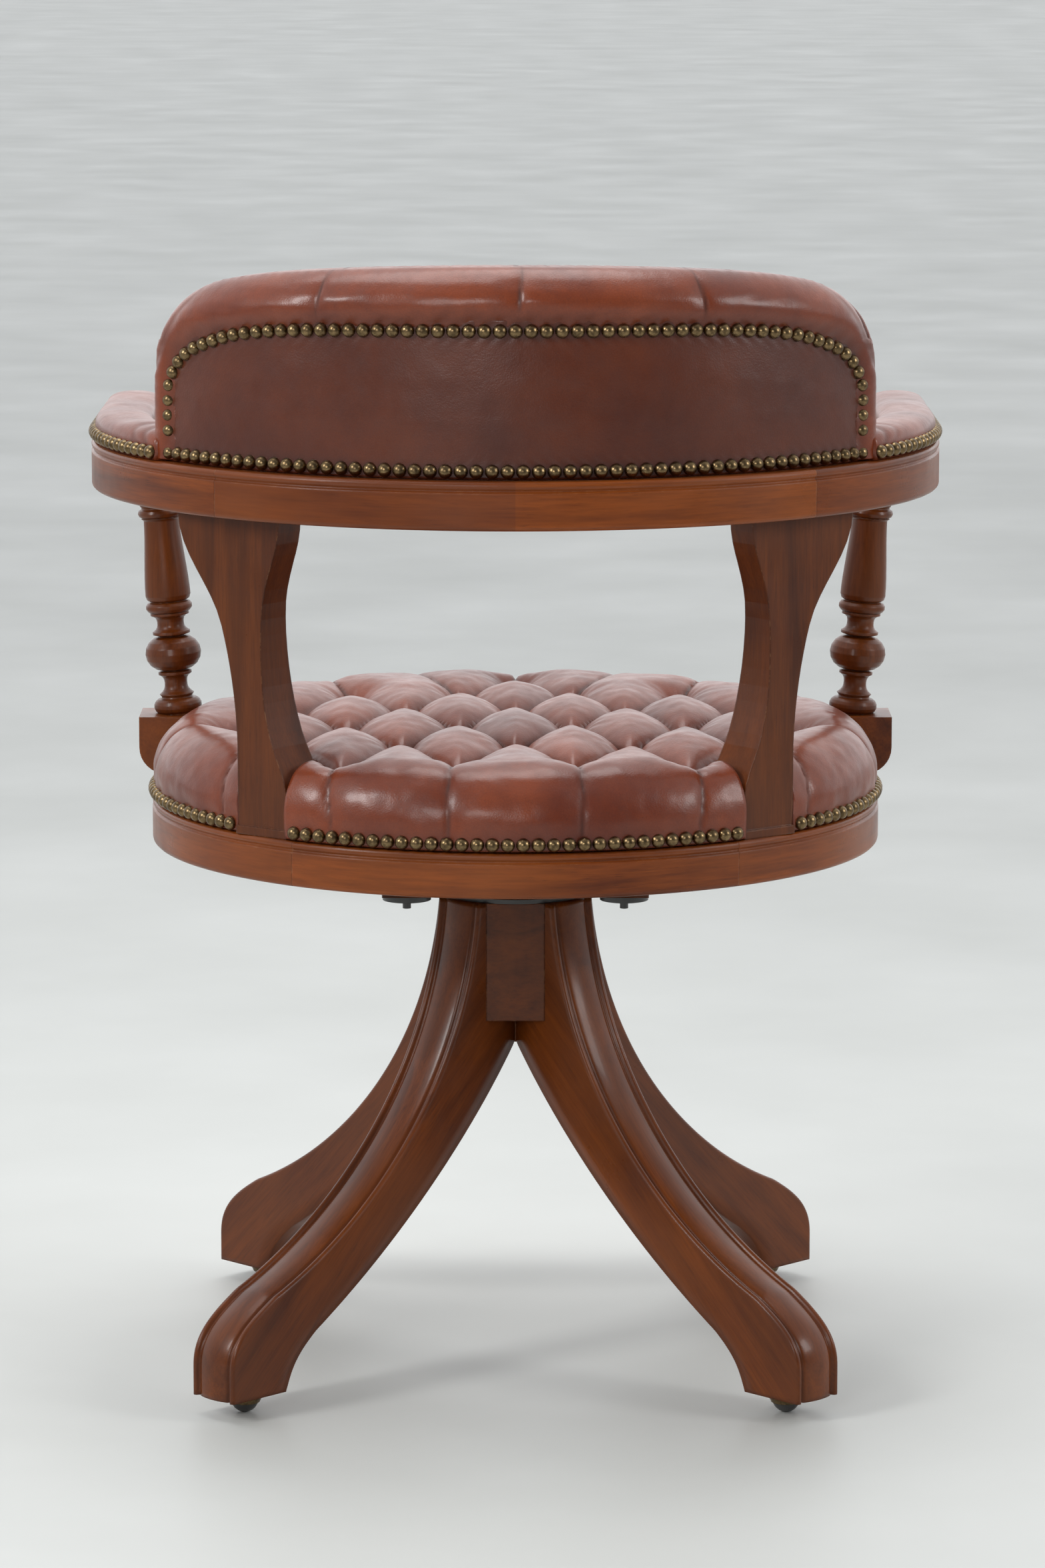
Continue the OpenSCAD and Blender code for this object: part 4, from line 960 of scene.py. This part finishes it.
def build_leg(name, turn):
    count = 130
    outer, inner = leg_edges(count)
    tangent = np.gradient(outer, axis=0)
    tangent /= np.linalg.norm(tangent, axis=1)[:, None]
    out = np.column_stack([-tangent[:, 1], tangent[:, 0]])
    half = leg_mould()
    section = half + [(-y, h) for y, h in half[::-1][1:]]
    loops = []
    for i in range(count):
        pts = []
        lift = np.clip(i / 4, 0, 1)
        for y, h in section:
            p = outer[i] + out[i] * h
            pts.append((p[0], y, min(max(p[1], FOOT_Z), LEG_TOP)))
        edge = LEG_T / 2
        for k, t in enumerate((0.0, 0.25, 0.5, 0.75, 0.985)):
            q = outer[i] + out[i] * -2.4
            p = q + (inner[i] - q) * (0.02 + t * 0.98)
            pts.append((p[0], -edge, p[1]))
        pts.append((inner[i][0], -edge + 1.4, inner[i][1]))
        pts.append((inner[i][0], edge - 1.4, inner[i][1]))
        for t in (0.985, 0.75, 0.5, 0.25, 0.0):
            q = outer[i] + out[i] * -2.4
            p = q + (inner[i] - q) * (0.02 + t * 0.98)
            pts.append((p[0], edge, p[1]))
        loops.append(pts)
    m = len(loops[0])
    v = np.array(loops).reshape(-1, 3)
    c, s = math.cos(turn), math.sin(turn)
    v = np.column_stack([v[:, 0] * c - v[:, 1] * s, v[:, 0] * s + v[:, 1] * c, v[:, 2]])
    faces = quads(count, m, wrap=True, flip=True)
    faces.append(list(range(m)))
    last = (count - 1) * m
    faces.append(list(range(last, last + m))[::-1])
    mat = wood("wood_" + name, "along_leg", 0.66 + 0.05 * math.cos(3 * turn), 0.9, turn)
    ob = make(name + "_moulded", v, faces, mat, "base")
    tidy_mesh(ob)
    return ob


for name, turn in (("leg_rear_left", 45), ("leg_rear_right", 135),
                   ("leg_front_right", 225), ("leg_front_left", 315)):
    leg = build_leg(name, math.radians(turn))
    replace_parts(leg, name)

# ---------- Rocking spring ----------


def build_spring():
    """The coil spring with closed, ground ends, built rigid at its rest length; on the chair it shortens as
    the seat rocks back.
    """
    wire, mid_r, sides, steps = 2.0, 14.0, 12, 36
    low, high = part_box("rocker_spring")
    z0, z1 = low[2] * 1000 + wire, high[2] * 1000 - wire
    turns = np.linspace(0, 5, 5 * steps + 1)
    # the first and last turns lie close together
    climb = np.interp(turns, [0, 0.75, 4.25, 5], [0, 0.09, 0.91, 1])
    verts = []
    for t, h in zip(turns, climb):
        a = 2 * math.pi * t
        for k in range(sides):
            b = 2 * math.pi * k / sides
            q = mid_r + wire * math.cos(b)
            z = z0 + (z1 - z0) * h + wire * math.sin(b)
            flat_z = min(max(z, z0 - wire * 0.7), z1 + wire * 0.7)
            verts.append((q * math.cos(a), -BOLT_FWD + q * math.sin(a), flat_z))
    faces = quads(len(turns), sides, wrap=True)
    faces.append(list(range(sides))[::-1])
    faces.append(list(range(len(verts) - sides, len(verts))))
    ob = make("rocker_spring_wire", verts, faces, STEEL, "yoke")
    tidy_mesh(ob)
    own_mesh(ob)
    return ob


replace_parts(build_spring(), "rocker_spring")

# ---------- Floor and light ----------


def build_floor():
    me = bpy.data.meshes.new("floor")
    me.from_pydata([(-40, -60, 0), (40, -60, 0), (40, 20, 0), (-40, 20, 0)], [], [(0, 1, 2, 3)])
    ob = bpy.data.objects.new("floor", me)
    scene.collection.objects.link(ob)
    n = Nodes("floor_pale")
    v = n.coords()
    shade = n.mix(n.span(n.noise(v, 1.3, 5.0), 0.3, 0.7), (0.50, 0.51, 0.49), (0.56, 0.57, 0.55))
    me.materials.append(n.finish(shade, n.span(n.noise(v, 3.0, 4.0), 0.3, 0.7, 0.42, 0.55)))


def area(name, place, target, size, power):
    data = bpy.data.lights.new(name, "AREA")
    data.shape = "RECTANGLE"
    data.size, data.size_y = size
    data.energy = power
    ob = bpy.data.objects.new(name, data)
    ob.location = place
    ob.rotation_euler = (Vector(target) - Vector(place)).to_track_quat("-Z", "Y").to_euler()
    scene.collection.objects.link(ob)


def build_world():
    """An even pale sky, brighter behind the chair and overhead than on the camera's side."""
    world = bpy.data.worlds.new("studio")
    world.use_nodes = True
    tree = world.node_tree
    way = tree.nodes.new("ShaderNodeTexCoord")
    parts = tree.nodes.new("ShaderNodeSeparateXYZ")
    tree.links.new(way.outputs["Generated"], parts.inputs[0])
    ramp = tree.nodes.new("ShaderNodeMapRange")
    for key, value in (("From Min", -1.0), ("From Max", 0.9), ("To Min", 1.45), ("To Max", 0.12)):
        ramp.inputs[key].default_value = value
    tree.links.new(parts.outputs["Y"], ramp.inputs["Value"])
    sky = tree.nodes["Background"]
    sky.inputs["Color"].default_value = (0.96, 0.98, 1.0, 1)
    tree.links.new(ramp.outputs[0], sky.inputs["Strength"])
    scene.world = world


build_floor()
build_world()
area("key", (2.4, 1.6, 2.1), (0, 0, 0.5), (0.7, 1.0), 42)
area("fill", (-2.6, 1.0, 1.7), (0, 0, 0.45), (0.8, 1.1), 24)
area("top", (0.2, -0.4, 3.0), (0, 0, 0.5), (2.0, 1.5), 36)
area("camera_side", (0.9, 3.4, 1.5), (0, 0, 0.4), (1.2, 0.8), 24)
